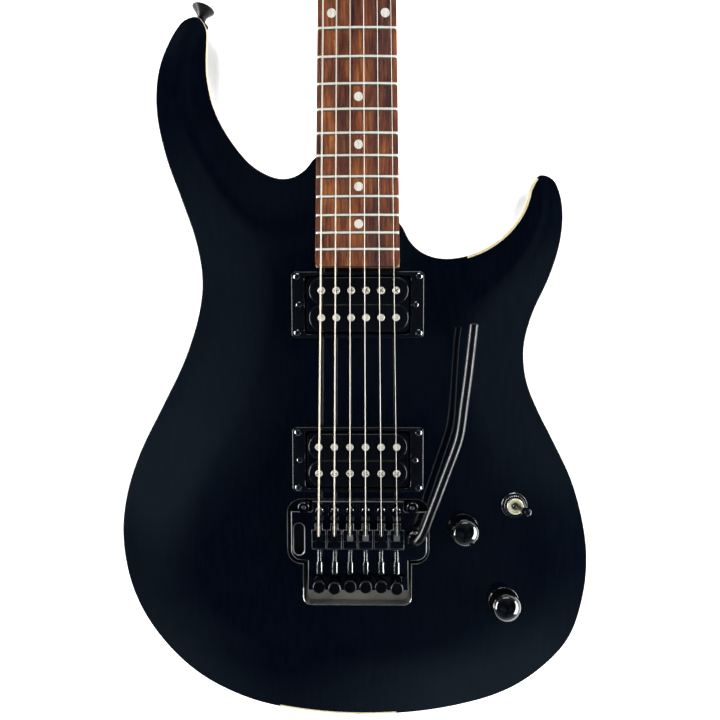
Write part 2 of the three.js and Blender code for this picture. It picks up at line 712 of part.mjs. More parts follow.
const tuners = new THREE.Group();
tuners.position.set(...FIRST_POST, 0);
tuners.rotation.z = -THREE.MathUtils.degToRad(HEAD_ANGLE);
guitar.add(tuners);
add('tuner_housings', tunerHousings(), materials.black_metal, tuners);
for (let i = 0; i < STRING_COUNT; i++) {
  add(`tuner_post_${i + 1}`, tunerPost(), materials.black_metal, tuners).position.y = i * POST_PITCH;
  add(`tuner_button_${i + 1}`, tunerButton(), materials.black_metal, tuners).position.y = i * POST_PITCH;
}

add('bridge_post_bass', bridgePost(), materials.black_metal).position.set(-POST_X, POST_Y, 0);
add('bridge_post_treble', bridgePost(), materials.black_metal).position.set(POST_X, POST_Y, 0);
add('base_plate', basePlate(), materials.black_metal);
add('sustain_block', sustainBlock(), materials.brass);
add('saddles', saddles(), materials.black_metal);
for (let i = 0; i < STRING_COUNT; i++) {
  const at = [saddleX(i), FINE_TUNER_Y, 48.6 + FINE_TUNER_RISES[i]];
  add(`fine_tuner_${i + 1}`, fineTuner(), materials.black_metal).position.set(...at);
}
add('tremolo_arm', tremoloArm(), materials.black_metal);

[-16, 0, 16].forEach((x, i) => {
  add(`tremolo_spring_${i + 1}`, spring(), materials.steel).position.set(x, 73, 10);
});
add('spring_claw', springClaw(), materials.steel);
add('spring_cover', springCover(), materials.black_plastic);
add('control_cover', flatCover(roundedRectangle(53, 131, -11, 99, 18)), materials.black_plastic);

add('volume_pot', pot(), materials.steel).position.set(...VOLUME_AT, 0);
add('tone_pot', pot(), materials.steel).position.set(...TONE_AT, 0);
add('volume_knob', knob(), materials.black_metal).position.set(...VOLUME_AT, 0);
add('tone_knob', knob(), materials.black_metal).position.set(...TONE_AT, 0);
add('toggle_switch', toggleSwitch(), materials.brass);
const lever = add('toggle_lever', toggleLever(), materials.black_plastic);
lever.position.set(...SWITCH_AT, TOP_Z + 1);
lever.rotation.y = THREE.MathUtils.degToRad(SWITCH_TILT);
add('output_jack', outputJack(), materials.black_metal);

add('strap_button_upper', placed(strapButton(), STRAP_BUTTONS.upper), materials.black_metal);
add('strap_button_lower', placed(strapButton(), STRAP_BUTTONS.lower), materials.black_metal);

export default guitar;
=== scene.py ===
import json
import math

import bmesh
import bpy
import numpy as np
from mathutils import Matrix, Vector
from mathutils.geometry import delaunay_2d_cdt, normal as normal_of


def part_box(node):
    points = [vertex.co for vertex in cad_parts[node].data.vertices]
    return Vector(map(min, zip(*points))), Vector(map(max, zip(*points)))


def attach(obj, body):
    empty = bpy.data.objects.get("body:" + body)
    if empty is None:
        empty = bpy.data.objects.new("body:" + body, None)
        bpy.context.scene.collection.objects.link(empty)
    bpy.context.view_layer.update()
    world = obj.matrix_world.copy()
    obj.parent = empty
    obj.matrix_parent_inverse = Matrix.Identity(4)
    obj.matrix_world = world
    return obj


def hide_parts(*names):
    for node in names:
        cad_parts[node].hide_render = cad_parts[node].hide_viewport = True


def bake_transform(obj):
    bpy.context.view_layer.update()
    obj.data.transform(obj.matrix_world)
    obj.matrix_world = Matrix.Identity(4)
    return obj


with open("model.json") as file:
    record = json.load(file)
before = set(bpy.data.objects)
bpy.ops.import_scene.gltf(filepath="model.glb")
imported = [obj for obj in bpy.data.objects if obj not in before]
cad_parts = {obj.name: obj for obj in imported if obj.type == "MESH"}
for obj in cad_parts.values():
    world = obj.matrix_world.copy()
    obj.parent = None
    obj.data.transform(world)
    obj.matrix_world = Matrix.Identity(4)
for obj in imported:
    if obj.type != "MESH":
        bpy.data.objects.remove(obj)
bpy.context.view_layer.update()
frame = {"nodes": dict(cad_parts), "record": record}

# Shapes are worked out in millimetres and become metres when a piece is built.
MM = 0.001
RECORD = frame["record"]
BODY_OF = {node: body for body, nodes in RECORD["behaviour"]["bodies"].items() for node in nodes}

# Sizes shared by several pieces
RIM_Z = 38
TOP_Z = 44.5
CARVE_WIDTH = 55
BACK_ROUND = 3
EDGE_ROUND = 0.8
EDGE_LINE_DEPTH = 3.0
EDGE_SHOULDER = 1.8
NUT_Y = 720
SCALE_LENGTH = 648
BOARD_BOTTOM = 47
BOARD_TOP = 53
BOARD_RADIUS = 406
BOARD_END_Y = 242.8
BOARD_NUT_WIDTH = 42
BOARD_END_WIDTH = 56.4
NECK_TOP = 46.7
HEEL_BOTTOM = 29
SHELF_END_Y = 738
HEAD_FRONT = 41
HEAD_BACK = 26
RECESS_FLOOR = 37
STRING_COUNT = 6
STRING_RADII = [0.53, 0.41, 0.31, 0.23, 0.19, 0.16]
NUT_SPREAD = 35
SADDLE_SPREAD = 52.6
SADDLE_BREAK_Y = 70
PLATE_BOTTOM = 43.2
PLATE_TOP = 46.2
GAP = 0.3
ARM_AT = (38.8, 57.5)
RECESSES = [(-48.9, 49, 38.2, 83.5, 9.5), (-38, 36.9, 9, 50, 5)]
COVER_FACE = 0.7
COVER_LEDGE = 2.3
JACK_SHOULDER = 2.4
STRAP_BUTTONS = {
    "strap_button_upper": ((-110.5, 413.6, 24), (0.2, 0.98, 0)),
    "strap_button_lower": ((0, -75.4, 13), (0, -1, 0)),
}


# ---- The frame's places ----


def corners(node):
    low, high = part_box(node)
    return Vector(low) / MM, Vector(high) / MM


def centre(node):
    low, high = corners(node)
    return (low + high) / 2


# ---- Shapes: each is a list of points and a list of faces ----


def skin(rings, closed=False):
    """Skins rings of equally many points, counter-clockwise seen from where the rings go."""
    count = len(rings[0])
    points = [tuple(p) for ring in rings for p in ring]
    faces = []
    for i in range(len(rings) if closed else len(rings) - 1):
        a = i * count
        b = ((i + 1) % len(rings)) * count
        for k in range(count):
            n = (k + 1) % count
            faces.append((a + k, a + n, b + n, b + k))
    if not closed:
        faces.append(tuple(reversed(range(count))))
        faces.append(tuple(range(len(points) - count, len(points))))
    return points, faces


def turned(profile, sides=32):
    """Turns (radius, height) points round the Z axis. The profile starts and ends on the axis."""
    points = [(0, 0, profile[0][1])]
    for radius, height in profile[1:-1]:
        for k in range(sides):
            angle = 2 * math.pi * k / sides
            points.append((radius * math.cos(angle), radius * math.sin(angle), height))
    points.append((0, 0, profile[-1][1]))
    rows = len(profile) - 2
    faces = []
    for k in range(sides):
        n = (k + 1) % sides
        faces.append((0, 1 + n, 1 + k))
        for row in range(rows - 1):
            a = 1 + row * sides
            faces.append((a + k, a + n, a + sides + n, a + sides + k))
        top = 1 + (rows - 1) * sides
        faces.append((top + k, top + n, len(points) - 1))
    return points, faces


def knurled(radius, low, high, teeth, depth=0.25, edge=0.5):
    """A knob's grip with fine teeth round it and softened ends."""
    rings = []
    for height, inset in ((low, edge), (low + edge, 0), (high - edge, 0), (high, edge)):
        ring = []
        for k in range(teeth * 2):
            angle = math.pi * k / teeth
            reach = radius - inset - (depth if k % 2 else 0)
            ring.append((reach * math.cos(angle), reach * math.sin(angle), height))
        rings.append(ring)
    return skin(rings)


def prism(outline, z0, z1):
    return skin([[(x, y, z) for x, y in outline] for z in (z0, z1)])


def frame_of(outer, inner, z0, z1):
    """A flat frame between two outlines of equally many points."""
    rings = [(outer, z0), (outer, z1), (inner, z1), (inner, z0)]
    return skin([[(x, y, z) for x, y in outline] for outline, z in rings], closed=True)


def circle(radius, sides=24, x=0, y=0):
    turns = [2 * math.pi * k / sides for k in range(sides)]
    return [(x + radius * math.cos(a), y + radius * math.sin(a)) for a in turns]


def rectangle(x0, x1, y0, y1, radius, steps=6):
    outline = []
    for quarter, (x, y) in enumerate((
        (x1 - radius, y1 - radius), (x0 + radius, y1 - radius),
        (x0 + radius, y0 + radius), (x1 - radius, y0 + radius),
    )):
        for k in range(steps + 1):
            angle = math.pi / 2 * (quarter + k / steps)
            outline.append((x + radius * math.cos(angle), y + radius * math.sin(angle)))
    return outline


def slab(x0, x1, y0, y1, radius, z0, z1):
    return prism(rectangle(x0, x1, y0, y1, radius), z0, z1)


def spline(points, steps, closed=False):
    """A smooth curve through all the points, with that many steps between two of them."""
    path = [Vector(p) for p in points]
    count = len(path)
    curve = []
    for i in range(count if closed else count - 1):
        if closed:
            p0, p1, p2, p3 = (path[(i + k) % count] for k in (-1, 0, 1, 2))
        else:
            p0, p1, p2, p3 = (path[min(max(i + k, 0), count - 1)] for k in (-1, 0, 1, 2))
        t0, t1, t2 = (max((b - a).length ** 0.5, 1e-4) for a, b in ((p0, p1), (p1, p2), (p2, p3)))
        if p0 == p1:
            t0 = t1
        if p2 == p3:
            t2 = t1
        m1 = ((p1 - p0) / t0 - (p2 - p0) / (t0 + t1) + (p2 - p1) / t1) * t1
        m2 = ((p2 - p1) / t1 - (p3 - p1) / (t1 + t2) + (p3 - p2) / t2) * t1
        for k in range(steps):
            t = k / steps
            curve.append(
                p1 * (2 * t**3 - 3 * t**2 + 1) + m1 * (t**3 - 2 * t**2 + t)
                + p2 * (-2 * t**3 + 3 * t**2) + m2 * (t**3 - t**2)
            )
    if not closed:
        curve.append(path[-1])
    return curve


def tube(points, radius, sides=12, tip=None):
    """A round bar along the points. tip lists (place along the end, share of the radius) steps."""
    path = [Vector(p) for p in points]
    radii = [radius] * len(path)
    if tip:
        end = path[-1]
        along = (end - path[-2]).normalized()
        for reach, share in tip:
            path.append(end + along * reach)
            radii.append(radius * share)
    rings = []
    across = None
    for i, place in enumerate(path):
        along = (path[min(i + 1, len(path) - 1)] - path[max(i - 1, 0)]).normalized()
        across = along.orthogonal() if across is None else across - along * across.dot(along)
        across.normalize()
        up = along.cross(across)
        turns = [2 * math.pi * k / sides for k in range(sides)]
        rings.append([place + (across * math.cos(a) + up * math.sin(a)) * radii[i] for a in turns])
    return skin(rings)


def sideways(outline, x0, x1):
    """A side view drawn as (y, z), from x0 to x1."""
    return skin([[(x, y, z) for y, z in outline] for x in (x0, x1)])


def moved(shape, at=(0, 0, 0), along=None, turn=0):
    """Turns a shape built on +Z about its axis, points it along a direction and moves it."""
    place = Matrix.Rotation(turn, 4, "Z")
    if along is not None:
        place = Vector((0, 0, 1)).rotation_difference(Vector(along)).to_matrix().to_4x4() @ place
    place = Matrix.Translation(at) @ place
    return [tuple(place @ Vector(p)) for p in shape[0]], shape[1]


def as_bmesh(shape):
    work = bmesh.new()
    made = [work.verts.new(p) for p in shape[0]]
    for face in shape[1]:
        work.faces.new([made[i] for i in face])
    work.normal_update()
    return work


def from_bmesh(work):
    work.verts.index_update()
    shape = [tuple(v.co) for v in work.verts], [tuple(v.index for v in f.verts) for f in work.faces]
    work.free()
    return shape


def softened(shape, width, segments=2, sharper_than=30):
    """Rounds the edges that are sharper than an angle in degrees."""
    work = as_bmesh(shape)
    limit = math.radians(sharper_than)
    edges = [e for e in work.edges if len(e.link_faces) == 2 and e.calc_face_angle() > limit]
    bmesh.ops.bevel(
        work, geom=edges, offset=width, segments=segments, profile=0.5, affect="EDGES", clamp_overlap=True,
    )
    return from_bmesh(work)


def loose_object(shape, materials=()):
    mesh = bpy.data.meshes.new("work")
    mesh.from_pydata(shape[0], [], shape[1])
    for material in materials:
        mesh.materials.append(material)
    thing = bpy.data.objects.new("work", mesh)
    bpy.context.collection.objects.link(thing)
    return thing


def settle(thing):
    """Makes an object's modifiers part of its mesh."""
    graph = bpy.context.evaluated_depsgraph_get()
    mesh = bpy.data.meshes.new_from_object(thing.evaluated_get(graph))
    thing.modifiers.clear()
    thing.data = mesh


def cut_from(thing, shapes, materials=(), operation="DIFFERENCE"):
    tools = [loose_object(shape, materials) for shape in shapes]
    for tool in tools:
        modifier = thing.modifiers.new("cut", "BOOLEAN")
        modifier.operation = operation
        modifier.solver = "MANIFOLD"
        modifier.object = tool
        modifier.material_mode = "TRANSFER" if materials else "INDEX"
    settle(thing)
    for tool in tools:
        bpy.data.objects.remove(tool)


def combined(shape, others, operation="DIFFERENCE"):
    thing = loose_object(shape)
    cut_from(thing, others, operation=operation)
    points = [tuple(v.co) for v in thing.data.vertices]
    faces = [tuple(f.vertices) for f in thing.data.polygons]
    bpy.data.objects.remove(thing)
    return points, faces


# ---- Materials ----


def node(tree, kind, inputs=None, **settings):
    made = tree.nodes.new("ShaderNode" + kind)
    for key, value in settings.items():
        setattr(made, key, value)
    for key, value in (inputs or {}).items():
        if isinstance(value, bpy.types.NodeSocket):
            tree.links.new(value, made.inputs[key])
        else:
            made.inputs[key].default_value = value
    return made


def noise(tree, size, stretch=(1, 1, 1), detail=4.0, roughness=0.55):
    """Noise with features of a size in millimetres, drawn out along the axes by stretch."""
    place = node(tree, "TexCoord").outputs["Object"]
    scale = [1 / (size * MM * s) for s in stretch]
    spread = node(tree, "Mapping", {"Vector": place, "Scale": scale})
    inputs = {"Vector": spread.outputs["Vector"], "Scale": 1.0, "Detail": detail, "Roughness": roughness}
    return node(tree, "TexNoise", inputs).outputs["Fac"]


def ramp(tree, value, *stops):
    made = node(tree, "ValToRGB", {"Fac": value})
    elements = made.color_ramp.elements
    while len(elements) < len(stops):
        elements.new(0.5)
    for element, (place, colour) in zip(elements, stops):
        element.position = place
        element.color = (*colour, 1) if len(colour) == 3 else colour
    return made.outputs["Color"]


def spread(tree, value, low, high):
    """Maps noise, which lies mostly between 0.3 and 0.7, to a range."""
    inputs = {"Value": value, "From Min": 0.3, "From Max": 0.7, "To Min": low, "To Max": high}
    return node(tree, "MapRange", inputs).outputs["Result"]


def bump(tree, value, depth):
    """A bump whose full height is a depth in millimetres."""
    return node(tree, "Bump", {"Height": value, "Distance": depth * MM, "Strength": 1.0}).outputs["Normal"]


def blended(tree, one, other, kind="MULTIPLY"):
    """The product or the sum of two colours."""
    return node(tree, "Mix", {0: 1.0, 6: one, 7: other}, data_type="RGBA", blend_type=kind).outputs[2]


def material(name, **inputs):
    made = bpy.data.materials.new(name)
    made.use_nodes = True
    shader = made.node_tree.nodes["Principled BSDF"]
    for key, value in inputs.items():
        shader.inputs[key.replace("_", " ")].default_value = value
    return made, made.node_tree, shader


def plug(tree, shader, **sockets):
    for key, value in sockets.items():
        tree.links.new(value, shader.inputs[key.replace("_", " ")])


def gloss_lacquer(name, dark, light, grain, roughness, Coat_Weight=0.4, **levels):
    made, tree, shader = material(name, Coat_Weight=Coat_Weight, Coat_Roughness=0.02, **levels)
    colour = ramp(tree, noise(tree, grain, (1, 6, 1)), (0.35, dark), (0.65, light))
    rough = spread(tree, noise(tree, 14), roughness * 0.7, roughness * 1.3)
    peel = bump(tree, noise(tree, 5, detail=1.0), 0.004)
    plug(tree, shader, Base_Color=colour, Roughness=rough, Normal=peel)
    return made


def wood(name, shades, roughness, streak, length, pores, tint=(1, 1, 1), figure=0.0, shine=0.5):
    """Wood with its grain along Y: streaks, bands of a second tint, and pores like short dark dashes."""
    made, tree, shader = material(name, Specular_IOR_Level=shine)
    streaks = noise(tree, streak, (1, length, 1), detail=6.0, roughness=0.65)
    broad = noise(tree, streak * 4, (1, length * 0.4, 1), detail=3.0, roughness=0.6)
    tone = node(tree, "Mix", {0: figure, 2: streaks, 3: broad}).outputs[0]
    reach = 0.2 - 0.07 * figure
    places = [0.5 + reach * (2 * k / (len(shades) - 1) - 1) for k in range(len(shades))]
    colour = ramp(tree, tone, *zip(places, shades))
    bands = ramp(tree, noise(tree, streak * 5, (1, 16, 1), detail=1.0), (0.5, (1, 1, 1)), (0.62, tint))
    colour = blended(tree, colour, bands)
    dashes = noise(tree, 0.35, (1, 12, 1), detail=2.0)
    holes = ramp(tree, dashes, (0.28, (0, 0, 0)), (0.4, (1, 1, 1)))
    share = node(tree, "Math", {0: holes, 1: 1 - pores}, operation="MAXIMUM").outputs[0]
    colour = blended(tree, colour, share)
    rough = spread(tree, streaks, roughness * 0.85, roughness * 1.2)
    plug(tree, shader, Base_Color=colour, Roughness=rough, Normal=bump(tree, holes, 0.03 * pores))
    return made


def metal(name, colour, roughness, metallic=1.0, brushed=(1, 1, 1), wear=0.25):
    """Metal with fine brush marks, soft cloudiness and a finish that varies a little."""
    made, tree, shader = material(name, Metallic=metallic)
    low = [c * (1 - wear) for c in colour]
    high = [c * (1 + wear / 2) for c in colour]
    shade = ramp(tree, noise(tree, 6), (0.3, low), (0.7, high))
    marks = noise(tree, 0.25, brushed, detail=3.0)
    rough = spread(tree, marks, roughness * 0.75, roughness * 1.3)
    plug(tree, shader, Base_Color=shade, Roughness=rough, Normal=bump(tree, marks, 0.004))
    return made


def plastic(name, colour, roughness, grain=0.4):
    made, tree, shader = material(name)
    shade = ramp(tree, noise(tree, 9), (0.3, [c * 0.8 for c in colour]), (0.7, [c * 1.2 for c in colour]))
    texture = noise(tree, grain, detail=2.0)
    rough = spread(tree, noise(tree, 4), roughness * 0.8, roughness * 1.25)
    plug(tree, shader, Base_Color=shade, Roughness=rough, Normal=bump(tree, texture, 0.01))
    return made


def cavity_paint_and_painted_light(name, dark, painted_light_grey):
    """Black cavity paint with painted light: grey at the tail of the tremolo's recess, fading to painted
    shade under the plate and towards the recess walls.
    """
    made, tree, shader = material(name, Specular_IOR_Level=0.08)
    place = node(tree, "TexCoord").outputs["Object"]
    axes = node(tree, "SeparateXYZ", {"Vector": place})
    # Painted light: grey where y is below 16 mm, fading to black by 25 mm, and painted shade near the walls
    # at |x| 35.5 to 37.4 mm.
    behind = node(tree, "MapRange", {"Value": axes.outputs["Y"], "From Min": 25 * MM, "From Max": 16 * MM})
    across = node(tree, "Math", {0: axes.outputs["X"]}, operation="ABSOLUTE").outputs[0]
    between = node(tree, "MapRange", {"Value": across, "From Min": 37.4 * MM, "From Max": 35.5 * MM})
    both = {0: behind.outputs["Result"], 1: between.outputs["Result"]}
    share = node(tree, "Math", both, operation="MULTIPLY").outputs[0]
    patches = node(tree, "Math", {0: share, 1: spread(tree, noise(tree, 7), 0.75, 1.1)}, operation="MULTIPLY")
    shade = ramp(tree, patches.outputs[0], (0.05, dark), (0.95, painted_light_grey))
    rough = spread(tree, noise(tree, 4), 0.42, 0.6)
    grain = bump(tree, noise(tree, 0.8, detail=2.0), 0.02)
    plug(tree, shader, Base_Color=shade, Roughness=rough, Normal=grain)
    return made


def wound_wire(name, colour, pitch):
    """Wire with a thin winding round it, whose turns show as fine rings; the grooves between turns are
    coloured darker as painted shade.
    """
    made, tree, shader = material(name, Metallic=0.45, Roughness=0.36)
    place = node(tree, "TexCoord").outputs["Object"]
    turns = node(
        tree, "TexWave", {"Vector": place, "Scale": 1 / (pitch * MM) * 0.05 * math.pi, "Distortion": 0.0},
        bands_direction="Y",
    )
    shade = ramp(tree, turns.outputs["Fac"], (0.1, [c * 0.72 for c in colour]), (0.7, colour))
    plug(tree, shader, Base_Color=shade, Normal=bump(tree, turns.outputs["Fac"], 0.03))
    return made


LACQUER = gloss_lacquer("gloss_black_lacquer", (0.0006, 0.0012, 0.003), (0.001, 0.002, 0.0042), 3, 0.05)
EDGE_CREAM = gloss_lacquer(
    "cream_edge", (0.6, 0.5, 0.3), (0.7, 0.6, 0.4), 1.2, 0.1, Coat_Weight=0.0, Specular_IOR_Level=0.2,
)
MAPLE = wood("satin_maple", [(0.5, 0.31, 0.15), (0.68, 0.48, 0.27)], 0.42, 2.5, 22, 0.18)
SIDE_LACQUER = gloss_lacquer(
    "polished_side_lacquer", (0.004, 0.004, 0.005), (0.008, 0.008, 0.009), 3, 0.06,
    IOR=1.75, Coat_Weight=1.0, Coat_IOR=1.6,
)
# Grey lacquer for the recesses' flared rims, a painted highlight that draws their edges as light lines.
RIM_PAINTED_HIGHLIGHT = gloss_lacquer("rim_painted_highlight", (0.05, 0.05, 0.052), (0.12, 0.12, 0.12), 2, 0.2)
ROSEWOOD = wood(
    "oiled_rosewood",
    [
        (0.014, 0.008, 0.008), (0.07, 0.02, 0.011), (0.15, 0.043, 0.018), (0.25, 0.08, 0.02),
        (0.38, 0.145, 0.03),
    ],
    0.6, 1.7, 14, 0.55, tint=(0.4, 0.48, 0.95), figure=0.4, shine=0.16,
)
# Black cavity paint with a grey patch of painted light on the tremolo recess floor.
CAVITY_PAINT_AND_LIGHT = cavity_paint_and_painted_light("cavity_paint_and_painted_light", (0.0035, 0.004, 0.0045), (0.12, 0.118, 0.106))
BLACK_METAL = metal("black_plated_metal", (0.14, 0.143, 0.15), 0.15)
BRIGHT_BLACK = metal("polished_black_metal", (0.14, 0.14, 0.145), 0.12)
SATIN_BLACK = metal("satin_black_metal", (0.05, 0.05, 0.052), 0.27)
# A lighter copy of the black plating for slanting edges: a painted highlight.
EDGE_HIGHLIGHT_METAL = metal("black_metal_painted_highlight", (0.17, 0.17, 0.175), 0.4, 0.35)
POLISHED_DARK = metal("polished_dark_steel", (0.21, 0.21, 0.21), 0.14)
BUTTON_METAL = metal("button_metal", (0.035, 0.035, 0.037), 0.34)
SCREW_METAL = metal("dark_screw_steel", (0.3, 0.3, 0.3), 0.12)
KNOB_BLACK = gloss_lacquer("polished_black_knob", (0.0008, 0.0009, 0.001), (0.0014, 0.0015, 0.0016), 2, 0.035)
PLASTIC = plastic("moulded_black_plastic", (0.0025, 0.003, 0.004), 0.1)
BOBBIN = plastic("bobbin_plastic", (0.002, 0.0024, 0.0032), 0.09)
STEEL = metal("brushed_steel", (0.62, 0.61, 0.59), 0.26, brushed=(1, 5, 1))
NICKEL = metal("nickel_pole", (0.6, 0.57, 0.49), 0.38, metallic=0.35, wear=0.2)
GREY_METAL = metal("worn_grey_steel", (0.1, 0.105, 0.112), 0.4, metallic=0.35)
FRET_METAL = metal("fret_nickel", (0.72, 0.69, 0.6), 0.4, metallic=0.3, brushed=(5, 1, 1), wear=0.1)
# A dark copy of the fret nickel for the frets' flanks: painted shade beside the crown.
FRET_SHADED_FLANK = metal("fret_flank_painted_shade", (0.1, 0.092, 0.074), 0.4, metallic=0.5, brushed=(5, 1, 1))
WOUND = wound_wire("wound_string", (0.66, 0.6, 0.49), 0.3)
PLAIN = metal("plain_string", (0.8, 0.75, 0.66), 0.4, metallic=0.25, brushed=(1, 6, 1), wear=0.1)
BRASS = metal("polished_brass", (0.76, 0.6, 0.32), 0.2)
PALE_BRASS = metal("pale_brass", (0.85, 0.8, 0.58), 0.3, metallic=0.5, wear=0.12)
PEARL = gloss_lacquer("pearl_dot", (0.5, 0.48, 0.43), (0.66, 0.64, 0.59), 1.5, 0.2)


# ---- Pieces ----


class Piece:
    """Collects shapes into one mesh that stands for CAD nodes."""

    def __init__(self):
        self.points = []
        self.faces = []
        self.materials = []
        self.slots = []

    def add(self, shape, look, **place):
        shape = moved(shape, **place) if place else shape
        start = len(self.points)
        self.points += shape[0]
        self.faces += [tuple(start + i for i in face) for face in shape[1]]
        self.slots += [self.slot(look)] * len(shape[1])
        return self

    def add_with_painted_edges(self, shape, look, side_look, end_look):
        """Adds a shape whose slanting faces look different towards X and towards Y, as painted highlight or
        painted shade on its edges.
        """
        first = len(self.slots)
        self.add(shape, look)
        for i, face in enumerate(shape[1]):
            facing = normal_of([shape[0][k] for k in face])
            if 0.3 < facing.z < 0.94:
                painted_edge_look = side_look if abs(facing.x) > abs(facing.y) else end_look
                self.slots[first + i] = self.slot(painted_edge_look)
        return self

    def slot(self, look):
        if look not in self.materials:
            self.materials.append(look)
        return self.materials.index(look)

    def mesh(self, name, sharp=32):
        mesh = bpy.data.meshes.new(name)
        mesh.from_pydata([tuple(c * MM for c in p) for p in self.points], [], self.faces)
        for look in self.materials:
            mesh.materials.append(look)
        mesh.polygons.foreach_set("material_index", self.slots)
        mesh.polygons.foreach_set("use_smooth", [True] * len(mesh.polygons))
        mesh.update()
        mesh.set_sharp_from_angle(angle=math.radians(sharp))
        return mesh

    def build(self, name, *nodes, rides=True, weighted=True, sharp=32):
        piece = bpy.data.objects.new(name, self.mesh(name, sharp))
        return stand_for(piece, *nodes, rides=rides, weighted=weighted)


def stand_for(piece, *nodes, rides=True, weighted=True):
    if piece.name not in bpy.context.collection.objects:
        bpy.context.collection.objects.link(piece)
    if weighted:
        modifier = piece.modifiers.new("flat_faces", "WEIGHTED_NORMAL")
        modifier.keep_sharp = True
    if rides:
        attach(piece, BODY_OF[nodes[0]] if nodes else "root")
    if nodes:
        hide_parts(*nodes)
    return piece


def mix(a, b, share):
    return a + (b - a) * share


def ease(t):
    t = min(max(t, 0), 1)
    return t * t * (3 - 2 * t)


def cross(arm, width, radius, z0, z1):
    return [slab(-x, x, -y, y, radius, z0, z1) for x, y in ((arm, width), (width, arm))]


def cross_head(radius, height):
    """A domed screw head with a cross recess, standing on z = 0."""
    dome = turned([
        (0, 0), (radius, 0), (radius, height * 0.35), (radius * 0.9, height * 0.7),
        (radius * 0.6, height * 0.93), (0, height),
    ], 24)
    arm = radius * 0.58
    width = radius * 0.13
    return combined(dome, cross(arm, width, width * 0.9, height * 0.35, height * 2))


def socket_head(radius, height, hexagon=0.55, sides=28):
    """A cylindrical screw head with a hexagonal socket, standing on z = 0."""
    bevel = radius * 0.14
    head = turned([
        (0, 0), (radius, 0), (radius, height - bevel), (radius - bevel, height), (0, height),
    ], sides)
    return combined(head, [prism(circle(radius * hexagon, 6), height * 0.4, height * 2)])


RING_SCREW = cross_head(2.3, 2.3)
HEIGHT_SCREW = cross_head(2.0, 1.9)
COVER_SCREW = cross_head(3.1, 1.5)


# ---- Body ----


def outline_of_body():
    """The body's edge, in order and counter-clockwise, from the CAD body's rings of edges."""
    work = bmesh.new()
    work.from_mesh(frame["nodes"]["body"].data)
    bmesh.ops.remove_doubles(work, verts=work.verts, dist=1e-6)
    level = BACK_ROUND * MM
    ring = {}
    for edge in work.edges:
        if all(abs(v.co.z - level) < 1e-5 for v in edge.verts):
            a, b = (v.index for v in edge.verts)
            ring.setdefault(a, []).append(b)
            ring.setdefault(b, []).append(a)
    work.verts.ensure_lookup_table()
    start = min(ring)
    path = [start, ring[start][0]]
    while path[-1] != start:
        one, other = ring[path[-1]]
        path.append(other if one == path[-2] else one)
    points = [work.verts[i].co.to_2d() / MM for i in path[:-1]]
    work.free()
    area = sum(p.x * q.y - q.x * p.y for p, q in zip(points, points[1:] + points[:1]))
    return points if area > 0 else points[::-1]


class Carve:
    """The carved top: its height and its normal anywhere inside the body's edge."""

    STEP = 2.0
    SOFTNESS = 5.0

    def __init__(self, ring):
        edge = np.array([tuple(p) for p in ring])
        self.low = edge.min(axis=0) - 20
        counts = ((edge.max(axis=0) + 20 - self.low) / self.STEP).astype(int) + 1
        xs = self.low[0] + self.STEP * np.arange(counts[0])
        ys = self.low[1] + self.STEP * np.arange(counts[1])
        grid = np.stack(np.meshgrid(xs, ys, indexing="ij"), axis=-1)
        distance = self.inside_distance(grid, edge)
        for axis in (0, 1):
            distance = self.blurred(distance, axis)
        self.distance = distance
        share = np.clip(distance / CARVE_WIDTH, 0, 1)
        self.height = RIM_Z + (TOP_Z - RIM_Z) * np.sin(np.pi / 2 * share)
        self.slope = np.gradient(self.height, self.STEP)

    @staticmethod
    def inside_distance(grid, edge):
        best = np.full(grid.shape[:2], np.inf)
        inside = np.zeros(grid.shape[:2], bool)
        for a, b in zip(edge, np.roll(edge, -1, axis=0)):
            along = b - a
            share = np.clip((grid - a) @ along / (along @ along), 0, 1)
            gap = grid - a - share[..., None] * along
            best = np.minimum(best, (gap**2).sum(axis=-1))
            crosses = (a[1] > grid[..., 1]) != (b[1] > grid[..., 1])
            if along[1]:
                reach = a[0] + along[0] * (grid[..., 1] - a[1]) / along[1]
                inside ^= crosses & (grid[..., 0] < reach)
        return np.where(inside, 1, -1) * np.sqrt(best)

    def blurred(self, field, axis):
        reach = int(3 * self.SOFTNESS / self.STEP)
        total = np.zeros_like(field)
        weights = 0
        for shift in range(-reach, reach + 1):
            weight = math.exp(-((shift * self.STEP / self.SOFTNESS) ** 2) / 2)
            index = np.clip(np.arange(field.shape[axis]) + shift, 0, field.shape[axis] - 1)
            total += weight * np.take(field, index, axis=axis)
            weights += weight
        return total / weights

    def sample(self, field, x, y):
        u = (x - self.low[0]) / self.STEP
        v = (y - self.low[1]) / self.STEP
        i, j = int(u), int(v)
        s, t = u - i, v - j
        near = field[i, j] * (1 - t) + field[i, j + 1] * t
        far = field[i + 1, j] * (1 - t) + field[i + 1, j + 1] * t
        return near * (1 - s) + far * s

    def z(self, x, y):
        return self.sample(self.height, x, y)

    def normal(self, x, y):
        slopes = [self.sample(slope, x, y) for slope in self.slope]
        return Vector((-slopes[0], -slopes[1], 1)).normalized()


def inset(ring, distance):
    """The ring moved inwards, which is to the left of a counter-clockwise path."""
    moved_ring = []
    for i, place in enumerate(ring):
        along = (ring[(i + 1) % len(ring)] - ring[i - 1]).normalized()
        moved_ring.append(Vector((place.x - along.y * distance, place.y + along.x * distance)))
    return moved_ring


